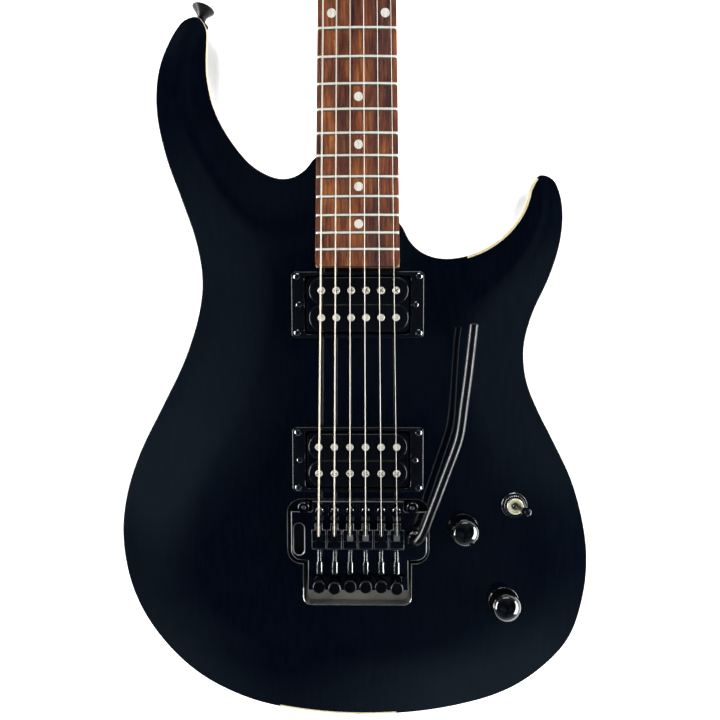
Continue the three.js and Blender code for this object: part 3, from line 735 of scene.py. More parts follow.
def body_blank(ring, carve):
    """The closed body before its hollows, as an object. Its faces carry the look of their place."""
    sides = []
    for k in range(5):
        angle = math.pi / 2 * k / 4
        rise = BACK_ROUND * (1 - math.cos(angle))
        sides.append(([(p.x, p.y, rise) for p in inset(ring, BACK_ROUND * (1 - math.sin(angle)))], 2))
    for height in (14, RIM_Z - EDGE_LINE_DEPTH):
        sides.append(([(p.x, p.y, height) for p in ring], 2))
    for k in range(5):
        angle = math.pi / 2 * k / 4
        turn = inset(ring, EDGE_ROUND * (1 - math.cos(angle)))
        height = RIM_Z - EDGE_ROUND * (1 - math.sin(angle))
        sides.append(([(p.x, p.y, height) for p in turn], 1 if k < 3 else 0))
    top_edge = [(p.x, p.y, carve.z(p.x, p.y)) for p in inset(ring, EDGE_SHOULDER)]
    sides.append((top_edge, 0))
    points, faces = skin([ring_points for ring_points, _ in sides])
    faces.pop()
    count = len(ring)
    looks = []
    for _, look in sides[1:]:
        for i, place in enumerate(ring):
            along = ring[(i + 1) % count] - ring[i - 1]
            lower_end = place.y < -62 and abs(place.x + 15) < 42
            treble_horn = place.x > 52 and place.y < 304.5 and along.y < -0.3 * along.length
            wide_line = look == 0 and (lower_end or treble_horn)
            looks.append(1 if wide_line else look)
    looks.append(2)

    inner = inset(ring, 4.5)
    spacing = 5.0
    x0, x1 = min(p.x for p in ring), max(p.x for p in ring)
    y0, y1 = min(p.y for p in ring), max(p.y for p in ring)
    spots = [tuple(p) for p in inner if carve.sample(carve.distance, p.x, p.y) > 3]
    row = 0
    y = y0
    while y < y1:
        x = x0 + (spacing / 2 if row % 2 else 0)
        while x < x1:
            if carve.sample(carve.distance, x, y) > 7.5:
                spots.append((x, y))
            x += spacing
        y += spacing * 0.866
        row += 1
    flat = [Vector(p[:2]) for p in top_edge] + [Vector(p) for p in spots]
    loop = [list(range(count))]
    made, _, triangles, _, _, _ = delaunay_2d_cdt(flat, [], loop, 1, 1e-5)
    start = len(points) - count
    for i, place in enumerate(made[count:]):
        points.append((place.x, place.y, carve.z(place.x, place.y)))
    for corner in triangles:
        a, b, c = (made[i] for i in corner)
        around = corner if (b - a).cross(c - a) > 0 else corner[::-1]
        faces.append(tuple(start + i for i in around))
        looks.append(0)
    blank = loose_object((points, faces), (LACQUER, EDGE_CREAM, SIDE_LACQUER))
    blank.data.polygons.foreach_set("material_index", looks)
    return blank


def jack_place():
    low, high = corners("output_jack")
    return {"at": (high.x - JACK_SHOULDER, (low.y + high.y) / 2, (low.z + high.z) / 2), "along": (1, 0, 0)}


def board_half(y):
    return mix(BOARD_NUT_WIDTH, BOARD_END_WIDTH, (NUT_Y - y) / (NUT_Y - BOARD_END_Y)) / 2


def body_hollows():
    above = TOP_Z + 5
    below = -1
    mouth_y = 330
    mouth = board_half(mouth_y) + GAP
    end = board_half(BOARD_END_Y) + GAP
    pocket = [(mouth, mouth_y), (-mouth, mouth_y), (-end, BOARD_END_Y - GAP), (end, BOARD_END_Y - GAP)]
    hollows = [prism(pocket, HEEL_BOTTOM - GAP, above)]
    for name in ("neck_pickup_ring", "bridge_pickup_ring"):
        y = centre(name).y
        hollows.append(slab(-39.3, 39.3, y - 19.5, y + 19.5, 3, 25, above))
    hollows += [slab(*recess, RECESS_FLOOR, above) for recess in RECESSES]
    sustain_slot = slab(-31, 31, 42, 76, 3, below, RECESS_FLOOR + 1)
    spring_cavity = slab(-31, 31, 60, 180, 5, below, 18)
    spring_ledge = slab(-36.3, 36.3, 37.7, 186.3, 8, below, COVER_LEDGE)
    control_cavity = slab(58, 126, -6, 94, 14, below, 36)
    control_ledge = slab(52.7, 131.3, -11.3, 99.3, 18, below, COVER_LEDGE)
    neck_ledge = prism([(-24.3, 249.7), (24.3, 249.7), (24.3, 269.3), (-24.3, 308.3)], below, COVER_LEDGE)
    hollows += [sustain_slot, spring_cavity, spring_ledge, control_cavity, control_ledge, neck_ledge]
    for name, radius in (("volume_knob", 4.1), ("tone_knob", 4.1), ("toggle_switch", 6.2)):
        place = centre(name)
        hollows.append(prism(circle(radius, 24, place.x, place.y), 35, above))
    for name in ("bridge_post_bass", "bridge_post_treble"):
        place = centre(name)
        hollows.append(prism(circle(3.8, 24, place.x, place.y), 20, RECESS_FLOOR + 1))
    hollows.append(moved(prism(circle(6.3, 28), -45, 8), **jack_place()))
    for at, along in STRAP_BUTTONS.values():
        hollows.append(moved(prism(circle(2.2, 16), -12.3, 5), at=at, along=along))
    return hollows


def rim_of(x0, x1, y0, y1, radius):
    """Flares a recess's edge outwards at 45 degrees where it meets the top."""
    flare = 0.45
    over = 2
    rings = []
    for height, wider in ((TOP_Z - flare, 0), (TOP_Z + over, over + flare)):
        outline = rectangle(x0 - wider, x1 + wider, y0 - wider, y1 + wider, radius + wider)
        rings.append([(x, y, height) for x, y in outline])
    return skin(rings)


def make_body():
    ring = spline([(p.x, p.y) for p in outline_of_body()], 3, closed=True)
    carve = Carve(ring)
    body = body_blank(ring, carve)
    cut_from(body, body_hollows(), (CAVITY_PAINT_AND_LIGHT,))
    # The flared rims take the grey painted highlight.
    cut_from(body, [rim_of(*recess) for recess in RECESSES], (RIM_PAINTED_HIGHLIGHT,))
    mesh = body.data
    mesh.name = body.name = "body_shell"
    mesh.transform(Matrix.Scale(MM, 4))
    mesh.polygons.foreach_set("use_smooth", [True] * len(mesh.polygons))
    mesh.set_sharp_from_angle(angle=math.radians(30))
    normals = [(0, 0, 0)] * len(mesh.loops)
    for face in mesh.polygons:
        if face.material_index == 0 and face.normal.z > 0.9:
            for corner in face.loop_indices:
                place = mesh.vertices[mesh.loops[corner].vertex_index].co / MM
                normals[corner] = tuple(carve.normal(place.x, place.y))
    mesh.normals_split_custom_set(normals)
    stand_for(body, "body", weighted=False)
    return carve


# ---- Neck and fingerboard ----


def neck_section(y, bottom, power, steps=28):
    half = board_half(min(y, NUT_Y))
    depth = NECK_TOP - bottom
    section = []
    for i in range(steps + 1):
        angle = math.pi * i / steps
        across = math.copysign(abs(math.cos(angle)) ** (2 / power), math.cos(angle))
        down = abs(math.sin(angle)) ** (2 / power)
        section.append((half * across, y, NECK_TOP - depth * down))
    return section


def make_neck():
    stations = [
        (BOARD_END_Y, HEEL_BOTTOM, 9), (330, HEEL_BOTTOM, 9), (348, 29.8, 3.6), (372, 31.2, 2.15),
        (460, 32, 2), (NUT_Y - 25, 33, 2), (NUT_Y, 31.8, 2.1), (NUT_Y + 9, 29.2, 2.3),
        (SHELF_END_Y, 26.6, 2.8),
    ]
    rings = []
    for (y0, z0, p0), (y1, z1, p1) in zip(stations, stations[1:]):
        steps = max(2, int((y1 - y0) / 8)) if y1 - y0 < 60 else 4
        for k in range(steps):
            share = k / steps
            eased = ease(share)
            rings.append(neck_section(mix(y0, y1, share), mix(z0, z1, eased), mix(p0, p1, eased)))
    rings.append(neck_section(*stations[-1]))
    right = spline([(20.6, 722), (21.4, 745), (24, 790), (26, 840), (26.5, 872), (23, 896), (13, 907),
                    (5, 905), (1.2, 893)], 6)
    left = spline([(-31.6, 766), (-31.6, 754), (-26, 743), (-21, 736), (-20.6, 722)], 5)
    head = softened(prism([(p.x, p.y) for p in right + left], HEAD_BACK, HEAD_FRONT), 1.4, 3, 40)
    holes = [box_slot(-3.3, 3.3, 260, 717, 38, NECK_TOP + 1)]
    for i in range(STRING_COUNT):
        post = centre(f"tuner_post_{i + 1}")
        holes.append(prism(circle(3.7, 20, post.x, post.y), HEAD_BACK - 5, HEAD_FRONT + 5))
    joined = combined(skin(rings), [head], "UNION")
    piece = Piece().add(combined(joined, holes), MAPLE)
    lacquered = piece.slot(LACQUER)
    for index, face in enumerate(piece.faces):
        middle = sum((Vector(piece.points[i]) for i in face), Vector()) / len(face)
        if middle.z > HEAD_FRONT - 1.45 and middle.y > SHELF_END_Y - 2:
            piece.slots[index] = lacquered
    piece.build("neck_maple", "neck", sharp=28)


def box_slot(x0, x1, y0, y1, z0, z1):
    return prism([(x0, y0), (x1, y0), (x1, y1), (x0, y1)], z0, z1)


def board_z(x):
    return BOARD_TOP - x * x / (2 * BOARD_RADIUS)


def fret_y(number):
    return NUT_Y - SCALE_LENGTH * (1 - 2 ** (-number / 12))


def rounded_side(half, sign, rounding=0.7, steps=3):
    """One rounded upper edge of the board, as (x, z) from the side up to the top."""
    places = []
    for k in range(steps + 1):
        angle = math.pi / 2 * k / steps
        x = half - rounding * (1 - math.cos(angle))
        places.append((sign * x, board_z(half) - rounding * (1 - math.sin(angle))))
    return places


def add_fret(piece, number):
    """A fret wire with a narrow bright crown between darker flanks, painted shade in a dark copy of the fret
    metal, its ends rounded.
    """
    y = fret_y(number)
    half = board_half(y) - 0.35
    ends = [(1, 0.12), (0.985, 0.7), (0.96, 1), (0.5, 1)]
    stations = ends + [(0, 1)] + [(-reach, share) for reach, share in reversed(ends)]
    steps = 12
    rings = []
    for reach, share in stations:
        x = half * reach
        section = []
        for k in range(steps + 1):
            angle = math.pi * k / steps
            rise = 1.2 * share * math.sin(angle) ** 0.8
            section.append((x, y - 1.3 * math.cos(angle), board_z(x) - 0.15 + rise))
        rings.append(section)
    first = len(piece.slots)
    piece.add(skin(rings), FRET_METAL)
    shaded_flank = piece.slot(FRET_SHADED_FLANK)
    for index in range((len(rings) - 1) * (steps + 1)):
        if not 4 <= index % (steps + 1) <= 7:
            piece.slots[first + index] = shaded_flank


def make_fingerboard():
    corner = 3.2
    rows = []
    for k in range(7):
        angle = math.pi / 2 * k / 6
        rows.append((BOARD_END_Y + corner * (1 - math.sin(angle)), corner * (1 - math.cos(angle))))
    rows = rows[::-1]
    rows += [(y, 0) for y in np.linspace(BOARD_END_Y + 12, NUT_Y - GAP, 24)]
    rings = []
    for y, narrower in rows:
        half = board_half(y) - narrower
        section = [(-half, BOARD_BOTTOM), (half, BOARD_BOTTOM)]
        section += rounded_side(half, 1)
        section += [(half * k / 4, board_z(half * k / 4)) for k in range(3, -4, -1)]
        section += reversed(rounded_side(half, -1))
        rings.append([(x, y, z) for x, z in reversed(section)])
    piece = Piece().add(skin(rings), ROSEWOOD)
    for number in range(1, 23):
        add_fret(piece, number)
    middle = 0.9
    apart = 17.4
    for fret in (3, 5, 7, 9, 12, 15, 17, 19, 21):
        y = (fret_y(fret) + fret_y(fret - 1)) / 2
        for x in (middle - apart, middle + apart) if fret == 12 else (middle,):
            disc = circle(2.95, 32, x, y)
            low = [(px, py, board_z(px) - 0.6) for px, py in disc]
            high = [(px, py, board_z(px) + 0.04) for px, py in disc]
            piece.add(skin([low, high]), PEARL)
    piece.build("fingerboard_rosewood", "fingerboard", sharp=40)


def make_nut():
    screw_y = 727.5
    low, high = corners("nut_base")
    side = [
        (low.y, low.z), (high.y, low.z), (high.y, high.z - 1.2), (high.y - 0.8, high.z),
        (low.y + 0.4, high.z), (low.y, high.z - 0.4),
    ]
    base = sideways(side, low.x, high.x)
    above = 60
    hollows = [prism(circle(2.5, 20, x, screw_y), 49, above) for x in (-14, 0, 14)]
    for i, radius in enumerate(STRING_RADII):
        x = string_x(i, NUT_Y)
        hollows.append(box_slot(x - radius, x + radius, low.y - 1, low.y + 1.2, high.z - 0.25, above))
    shape = softened(combined(base, hollows), 0.25, 1)
    Piece().add(shape, BLACK_METAL).build("nut_block", "nut_base")
    for name in ("nut_clamp_bass", "nut_clamp_middle", "nut_clamp_treble"):
        low, high = corners(name)
        x = (low.x + high.x) / 2
        pad_top = high.z - 2.6
        pad_low = high.z - 6.5
        pad = softened(slab(x - 6, x + 6, screw_y - 6, screw_y + 6, 0.8, pad_low, pad_top), 0.7, 3)
        piece = Piece().add(pad, BLACK_METAL)
        piece.add(socket_head(2.9, high.z - pad_top + 0.3), STEEL, at=(x, screw_y, pad_top - 0.3))
        piece.add(prism(circle(2, 16), low.z, pad_low + 0.2), STEEL, at=(x, screw_y, 0))
        piece.build(f"{name}_pad", name)
    low, high = corners("string_retainer")
    bar_low = high.z - 4
    bar = softened(slab(low.x, high.x, low.y, high.y, 2.9, bar_low, high.z), 0.8, 3)
    piece = Piece().add(bar, BLACK_METAL)
    y = (low.y + high.y) / 2
    for x in (-21, 21):
        piece.add(cross_head(2.4, 1.2), STEEL, at=(x, y, high.z - 1.21))
        piece.add(prism(circle(1.8, 14), low.z, bar_low + 0.2), BLACK_METAL, at=(x, y, 0))
    piece.build("retainer_bar", "string_retainer")


# ---- Strings ----


def string_x(index, y):
    share = (NUT_Y - y) / SCALE_LENGTH
    return (index / (STRING_COUNT - 1) - 0.5) * mix(NUT_SPREAD, SADDLE_SPREAD, share)


def make_strings():
    turn_z = 47.6
    for index, radius in enumerate(STRING_RADII):
        post = centre(f"tuner_post_{index + 1}")
        reach = 3.2 + GAP + radius
        saddle_z = 56.6 + radius
        nut_z = 54.7 + radius
        low_z = 50.2 - GAP - radius
        turn_x = post.x + reach
        path = [(string_x(index, 62), 62, saddle_z - 0.6)]
        path.append((string_x(index, SADDLE_BREAK_Y), SADDLE_BREAK_Y, saddle_z))
        for y in (74, 80, 88, 96, 110, 200, 330, 460, 590, NUT_Y, 735):
            share = min(1, (y - SADDLE_BREAK_Y) / (NUT_Y - SADDLE_BREAK_Y))
            path.append((string_x(index, y), y, mix(saddle_z, nut_z, share)))
        for y in (745.7, 749, 752.3):
            path.append((mix(string_x(index, 735), turn_x, (y - 735) / (post.y - 735)), y, low_z))
        path.append((turn_x, post.y, turn_z))
        turns = 3
        per_turn = 12
        wrap = reach - 0.35
        for k in range(1, turns * per_turn + 1):
            angle = 2 * math.pi * k / per_turn
            z = turn_z - radius * 2.1 * k / per_turn
            path.append((post.x + wrap * math.cos(angle), post.y + wrap * math.sin(angle), z))
        piece = Piece().add(tube(path, radius, 10), WOUND if index < 3 else PLAIN)
        name = f"string_{index + 1}"
        wire = piece.build(f"{name}_wire", name, rides=False, weighted=False, sharp=60)
        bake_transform(wire)


# ---- Tuners ----


def make_tuners():
    first = centre("tuner_post_1")
    last = centre("tuner_post_6")
    row = (last - first).to_2d()
    pitch = row.length / (STRING_COUNT - 1)
    lean = -math.atan2(row.x, row.y)
    shaft_z = HEAD_BACK - 7
    place = {"at": (first.x, first.y, 0), "turn": lean}
    housings = Piece()
    strip = slab(-6, 6, -10, 5 * pitch + 10, 3, HEAD_BACK - 2.3, HEAD_BACK - GAP)
    housings.add(softened(strip, 0.4), BLACK_METAL, **place)
    for i in range(STRING_COUNT):
        y = i * pitch
        case = slab(-8.5, 6, y - 8, y + 8, 2.4, HEAD_BACK - 12.5, HEAD_BACK - 1.6)
        holes = [prism(circle(3.7, 20, 0, y), HEAD_BACK - 9, HEAD_BACK + 2)]
        holes.append(moved(prism(circle(2.1, 16), -11, -5), at=(0, y, shaft_z), along=(1, 0, 0)))
        housings.add(combined(softened(case, 1.6, 3), holes), BLACK_METAL, **place)
        housings.add(prism(circle(2.1, 18, 1.2, y), HEAD_BACK - 12.9, HEAD_BACK - 12.2), STEEL, **place)
    housings.build("tuner_cases", "tuner_housings")
    for i in range(STRING_COUNT):
        y = i * pitch
        spot = first + (last - first) * i / (STRING_COUNT - 1)
        post = turned([
            (0, HEAD_BACK - 8.6), (3.2, HEAD_BACK - 8.6), (3.2, 44.6), (2.75, 45.4), (2.7, 47), (2.75, 49.2),
            (3.15, 50), (3.2, 51.3), (2.7, 52), (0, 52),
        ], 28)
        slot = box_slot(-0.6, 0.6, -5, 5, 50.4, 54)
        shaft = Piece().add(combined(post, [slot]), BRIGHT_BLACK, at=(spot.x, spot.y, 0), turn=lean)
        shaft.build(f"tuner_shaft_{i + 1}", f"tuner_post_{i + 1}")
        paddle = [
            [(6 * share * across, 9 * share * along, height) for across, along in circle(1, 36)]
            for height, share in ((-3, 0.82), (-2.5, 0.93), (-1.6, 1), (1.6, 1), (2.5, 0.93), (3, 0.82))
        ]
        knob = Piece()
        button_place = Matrix.Translation((first.x, first.y, shaft_z)) @ Matrix.Rotation(lean, 4, "Z")
        knob.add(moved(skin(paddle), at=(-24.5, y, 0)), BRIGHT_BLACK)
        stem = turned([(0, -21), (1.9, -21), (2.4, -18.6), (1.9, -16.8), (1.7, -15), (1.7, -6), (0, -6)], 20)
        knob.add(moved(stem, at=(0, y, 0), along=(1, 0, 0)), BRIGHT_BLACK)
        knob.points = [tuple(button_place @ Vector(p)) for p in knob.points]
        knob.build(f"tuner_knob_{i + 1}", f"tuner_button_{i + 1}")
    bushings = Piece()
    for i in range(STRING_COUNT):
        spot = first + (last - first) * i / (STRING_COUNT - 1)
        washer = ring_shape(3.6, 6.4, HEAD_FRONT, HEAD_FRONT + 0.7)
        bushings.add(washer, BLACK_METAL, at=(spot.x, spot.y, 0))
        nut = frame_of(circle(5.4, 6), circle(3.55, 6), HEAD_FRONT + 0.7, HEAD_FRONT + 3)
        bushings.add(softened(nut, 0.3, 2, 20), BRIGHT_BLACK, at=(spot.x, spot.y, 0), turn=0.2 * i)
    bushings.build("tuner_bushings")


def ring_shape(inner, outer, z0, z1, sides=32):
    """A washer with softened outer edges."""
    soft = min(0.3, (z1 - z0) / 3)
    profile = [
        (inner, z0), (outer - soft, z0), (outer, z0 + soft), (outer, z1 - soft), (outer - soft, z1),
        (inner, z1),
    ]
    return skin([[(x, y, z) for x, y in circle(radius, sides)] for radius, z in profile], closed=True)


# ---- Pickups ----


POLE_SLUG = turned([(0, -1), (2.4, -1), (2.4, 0.3), (2.1, 0.5), (0, 0.55)], 28)
POLE_HEAD = turned([(0, -1), (2.45, -1), (2.45, 0.2), (2.1, 0.65), (1.3, 0.85), (0, 0.9)], 28)
POLE_SCREW = combined(POLE_HEAD, cross(1.9, 0.26, 0.1, 0.25, 2))
# A dark plastic disc that fills the floor of the pole screw's cross recess: painted shade in the recess.
POLE_CROSS_PAINTED_SHADE = prism(circle(2, 20), 0, 0.4)


def make_pickup(name, screws_towards_neck):
    low, high = corners(f"{name}_ring")
    middle = (low + high) / 2
    outer = rectangle(low.x, high.x, low.y, high.y, 3)
    inner = rectangle(-35.5, 35.5, middle.y - 19.5, middle.y + 19.5, 2)
    ring = Piece().add(softened(frame_of(outer, inner, low.z, high.z), 0.9, 3), PLASTIC)
    for x in (-40.4, 41):
        for y in (-18.8, 18.8):
            ring.add(RING_SCREW, SCREW_METAL, at=(x, middle.y + y, high.z - 0.4), turn=0.3 * x + y)
    for x in (-39.2, 38.8):
        ring.add(HEIGHT_SCREW, SCREW_METAL, at=(x, middle.y, high.z - 0.4), turn=1.3 + x)
    ring.build(f"{name}_frame", f"{name}_ring")

    low, high = corners(name)
    top = high.z - 0.7
    pole_spread = 49.7 if screws_towards_neck else 52.4
    shift = 0.8 if screws_towards_neck else 0
    coil = Piece()
    tray = slab(-34.2, 34.2, middle.y - 18.4, middle.y + 18.4, 4, 31, top - 3)
    coil.add(softened(tray, 0.4), BLACK_METAL)
    coil.add(slab(-38.5, 38.5, middle.y - 8, middle.y + 8, 1.5, low.z, 32), BLACK_METAL)
    for side in (-1, 1):
        y = middle.y + 0.3 + side * 9
        bobbin = slab(shift - 33.2, shift + 33.2, y - 8.9, y + 8.9, 8.7, top - 1.8, top)
        coil.add(softened(bobbin, 0.85, 4), BOBBIN)
        coil.add(slab(shift - 32.4, shift + 32.4, y - 8.1, y + 8.1, 7.9, top - 6.2, top - 1.6), BOBBIN)
        for i in range(STRING_COUNT):
            at = (shift + (i / (STRING_COUNT - 1) - 0.5) * pole_spread, y, top)
            if (side > 0) == screws_towards_neck:
                coil.add(POLE_SCREW, NICKEL, at=at, turn=0.4 + 1.3 * i)
                # Painted shade: dark bobbin plastic at the bottom of the cross.
                coil.add(POLE_CROSS_PAINTED_SHADE, BOBBIN, at=at)
            else:
                coil.add(POLE_SLUG, NICKEL, at=at)
    coil.build(f"{name}_coils", name)


# ---- Tremolo ----

KNIFE_Y = 75.4
PLATE_ROUND = 0.7


def make_base_plate():
    low, high = corners("base_plate")
    wing = 7
    end = 41
    tail = 34.8
    shoulder = 31.5
    outline = [(tail, low.y), (tail, end)]
    for k in range(9):
        angle = -math.pi / 2 * (1 - k / 8)
        outline.append((high.x - wing + wing * math.cos(angle), end + wing + wing * math.sin(angle)))
    outline += [
        (high.x, KNIFE_Y), (shoulder + 1, KNIFE_Y), (shoulder, KNIFE_Y + 1), (shoulder, high.y),
        (-shoulder, high.y), (-shoulder, KNIFE_Y + 1), (-shoulder - 1, KNIFE_Y), (low.x, KNIFE_Y),
    ]
    for k in range(9):
        angle = -math.pi + math.pi / 2 * k / 8
        outline.append((low.x + wing + wing * math.cos(angle), end + wing + wing * math.sin(angle)))
    outline += [(-tail, end), (-tail, low.y)]
    slot = []
    for w, z in ((0, PLATE_BOTTOM - 1), (0, PLATE_TOP - PLATE_ROUND), (PLATE_ROUND, PLATE_TOP),
                 (PLATE_ROUND, PLATE_TOP + 1)):
        ring = rectangle(low.x + 2 - w, low.x + 9 + w, 45 - w, 67 + w, 3.4 + w)
        slot.append([(x, y, z) for x, y in ring])
    holes = [skin(slot)]
    holes.append(prism(circle(3.6, 28, *ARM_AT), PLATE_BOTTOM - 1, PLATE_TOP + 1))
    tuner_y = centre("fine_tuner_1").y
    for i in range(STRING_COUNT):
        holes.append(prism(circle(2, 18, string_x(i, SADDLE_BREAK_Y), tuner_y), 40, 50))
    ring = [Vector(p) for p in outline]
    layers = [(0, PLATE_BOTTOM), (0, PLATE_TOP - PLATE_ROUND), (PLATE_ROUND, PLATE_TOP)]
    plate = combined(skin([[(p.x, p.y, z) for p in inset(ring, w)] for w, z in layers]), holes)
    # The plate's slanting edges take the painted highlight on all sides.
    piece = Piece().add_with_painted_edges(plate, BLACK_METAL, EDGE_HIGHLIGHT_METAL, EDGE_HIGHLIGHT_METAL)
    bar = combined(slab(-33.4, 33.4, tuner_y - 4.6, tuner_y + 4.5, 1, PLATE_TOP - 1, high.z), holes[2:])
    piece.add(softened(bar, 0.5, 2), BLACK_METAL)
    piece.build("tremolo_plate", "base_plate")


def make_saddles():
    """Each saddle is a wide rear block with a narrow tower in front and a thin tongue under that."""
    floor = PLATE_TOP + GAP
    rear = [
        (51, floor), (66.4, floor), (66.4, 55.6), (65.8, 56.3), (62.9, 56.3), (62.7, 54.4),
        (57.8, 54.4), (57.6, 55), (53.2, 54.8), (51.6, 53.6), (51, 52),
    ]
    tower = [
        (65, 48), (73.5, 48), (73.5, 49.6), (71.6, 52.4), (70.7, 55.4), (SADDLE_BREAK_Y, 56.3), (65, 56.3),
    ]
    piece = Piece()
    for i in range(STRING_COUNT):
        x = string_x(i, SADDLE_BREAK_Y)
        channel = box_slot(x - 1.1, x + 1.1, 62, 69, 54.8, 60)
        for side, half, width in ((rear, 4.8, 0.8), (tower, 2.6, 0.45)):
            block = softened(combined(sideways(side, x - half, x + half), [channel]), width, 3)
            # Side chamfers take the painted highlight; end chamfers take a darker satin as painted shade.
            piece.add_with_painted_edges(block, BLACK_METAL, EDGE_HIGHLIGHT_METAL, SATIN_BLACK)
        slot = slab(x - 1.6, x + 1.6, 75, 84, 1.5, 40, 60)
        tongue = combined(slab(x - 4.6, x + 4.6, 65, 81.5, 1, floor, 48.4), [slot])
        piece.add(softened(tongue, 0.35, 2), BLACK_METAL)
        piece.add(socket_head(2.65, 2.5), BRIGHT_BLACK, at=(x, 77.2, 48.3), turn=0.7 * i)
        insert = softened(slab(x - 2.05, x + 2.05, 58.2, 62.5, 0.4, 50, 55.7), 0.3, 2)
        piece.add(insert, GREY_METAL if i in (2, 3, 5) else SATIN_BLACK)
        screw = softened(socket_head(2.4, 8.2, 0.58), 0.3, 2)
        piece.add(screw, POLISHED_DARK, at=(x, 42.3, 50.4), along=(0, -1, 0), turn=0.4 * i)
        thread = [(1.5 if k % 2 else 1.3, 0.5 * k) for k in range(19)]
        shaft = turned([(0, 0)] + thread + [(0, 9.5)], 20)
        piece.add(shaft, BRIGHT_BLACK, at=(x, 51.3, 50.4), along=(0, -1, 0))
    piece.build("saddle_set", "saddles")


def make_fine_tuners():
    for i in range(STRING_COUNT):
        name = f"fine_tuner_{i + 1}"
        low, high = corners(name)
        place = {"at": (centre(name).x, centre(name).y, high.z - 7.3)}
        piece = Piece()
        stem = turned([(0, -7), (1.3, -7), (1.6, -6.6), (1.6, 0.6), (3.4, 0.6), (3.4, 5), (0, 5)], 24)
        piece.add(stem, BRIGHT_BLACK, **place)
        piece.add(knurled(4.4, 0.7, 6.4, 26, 0.3, 0.3), BRIGHT_BLACK, **place)
        cap = turned([
            (0, 5.6), (4.3, 5.6), (4.3, 6.4), (4.22, 6.75), (4, 7.05), (3.7, 7.24), (3.3, 7.3), (0, 7.3),
        ], 40)
        piece.add(cap, SATIN_BLACK, **place)
        piece.build(f"{name}_knob", name)


def make_arm():
    x, y = ARM_AT
    path = [
        (x, y, 40), (x, y, 54), (x + 1.2, y + 1.9, 57.8), (x + 3.9, y + 6, 59.4), (49.4, 81.7, 61.4),
        (57.3, 104.4, 63.2), (63.6, 122.6, 64.6), (65.7, 129.6, 65), (66.9, 136, 65.4), (68.6, 151, 66.2),
        (71, 172, 67.4), (73.9, 203.4, 69.5),
    ]
    curve = spline(path, 9)
    piece = Piece().add(tube(curve, 3, 24, tip=((0.5, 0.96), (0.9, 0.84), (1.1, 0.6))), SATIN_BLACK)
    piece.add(knurled(5.4, PLATE_TOP + GAP, 50.2, 26, 0.3, 0.5), BRIGHT_BLACK, at=(x, y, 0))
    collar = turned([(0, 49.8), (4.6, 49.8), (4.6, 51), (4.1, 51.5), (3.6, 51.5), (0, 51.5)], 28)
    piece.add(collar, BRIGHT_BLACK, at=(x, y, 0))
    piece.build("arm_bar", "tremolo_arm")


def make_posts():
    profile = [
        (0, 20.5), (3.1, 20.5), (3.5, 21), (3.5, 43.9), (2.9, 44.5), (2.9, 45), (3.5, 45.6), (3.6, 46.8),
        (4.1, 47.1), (4.1, 49.1), (3.9, 49.7), (3.5, 50.1), (3, 50.2), (0, 50.2),
    ]
    for name in ("bridge_post_bass", "bridge_post_treble"):
        spot = centre(name)
        post = combined(turned(profile, 32), [prism(circle(2, 6), 48.2, 52)])
        piece = Piece().add(post, BRIGHT_BLACK, at=(spot.x, spot.y, 0), turn=0.4)
        dimple = turned([(0, 47), (2, 47), (2, 48.2), (1.7, 49), (1.1, 49.6), (0, 49.9)], 24)
        piece.add(dimple, STEEL, at=(spot.x, spot.y, 0))
        piece.build(f"{name}_stud", name)


def make_block_and_springs():
    low, high = corners("sustain_block")
    block = softened(slab(low.x, high.x, low.y, high.y, 0.6, low.z, high.z), 0.8, 2)
    holes = [
        prism(circle(3.2, 20, string_x(i, SADDLE_BREAK_Y), (low.y + high.y) / 2 - 1), low.z - 1, low.z + 22)
        for i in range(STRING_COUNT)
    ]
    Piece().add(combined(block, holes), BRASS).build("sustain_mass", "sustain_block")
    turns = 42
    per_turn = 12
    radius = 3.1
    for i in range(3):
        name = f"tremolo_spring_{i + 1}"
        low, high = corners(name)
        spot = (low + high) / 2
        hook = ((0.4, 0), (5, 0), (7, 1))
        path = [(spot.x, low.y + reach, spot.z + rise) for reach, rise in hook]
        first, last = low.y + 9, high.y - 9
        for k in range(turns * per_turn + 1):
            angle = 2 * math.pi * k / per_turn + math.pi / 2
            y = mix(first, last, k / (turns * per_turn))
            path.append((spot.x + radius * math.cos(angle), y, spot.z + radius * math.sin(angle)))
        path += [(spot.x, high.y - reach, spot.z + rise) for reach, rise in reversed(hook)]
        coil = Piece().add(tube(path, 0.55, 6), STEEL)
        spring = coil.build(f"{name}_coil", name, rides=False, weighted=False, sharp=80)
        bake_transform(spring)


# ---- Back ----


def add_cover(name, node_name, shape, look, screws, screw_look, width=0.35):
    """A plate let into the back. screws lists (x, y, turn)."""
    cover = Piece().add(softened(shape, width, 2), look)
    for x, y, turn in screws:
        cover.add(COVER_SCREW, screw_look, at=(x, y, COVER_FACE + 0.85), along=(0, 0, -1), turn=turn)
    cover.build(name, node_name)


def make_covers():
    low, high = corners("spring_cover")
    outer = rectangle(low.x, high.x, low.y, high.y, 8)
    shape = frame_of(outer, rectangle(-29, 29, 52, 74, 4), COVER_FACE, high.z)
    rows = (low.y + 6, (low.y + high.y) / 2 + 10, high.y - 6)
    screws = [(x, y, 0.2 * y) for x in (low.x + 5.5, high.x - 5.5) for y in rows]
    add_cover("spring_cover_plate", "spring_cover", shape, PLASTIC, screws, BRIGHT_BLACK)
    low, high = corners("control_cover")
    shape = slab(low.x, high.x, low.y, high.y, 18, COVER_FACE, high.z)
    rows = (low.y + 8.5, high.y - 8.5)
    screws = [(x, y, 0.1 * x + y) for x in (low.x + 8.5, high.x - 8.5) for y in rows]
    add_cover("control_cover_plate", "control_cover", shape, PLASTIC, screws, BRIGHT_BLACK)
    low, high = corners("neck_plate")
    shape = prism([(low.x, low.y), (high.x, low.y), (high.x, 269), (low.x, high.y)], COVER_FACE, high.z)
    screws = [(x, y, 0.13 * y) for x, y in ((-17, 257), (17, 257), (17, 266.5), (-17, 294))]
    add_cover("neck_joint_plate", "neck_plate", shape, BRIGHT_BLACK, screws, STEEL, width=0.4)


# ---- Controls ----


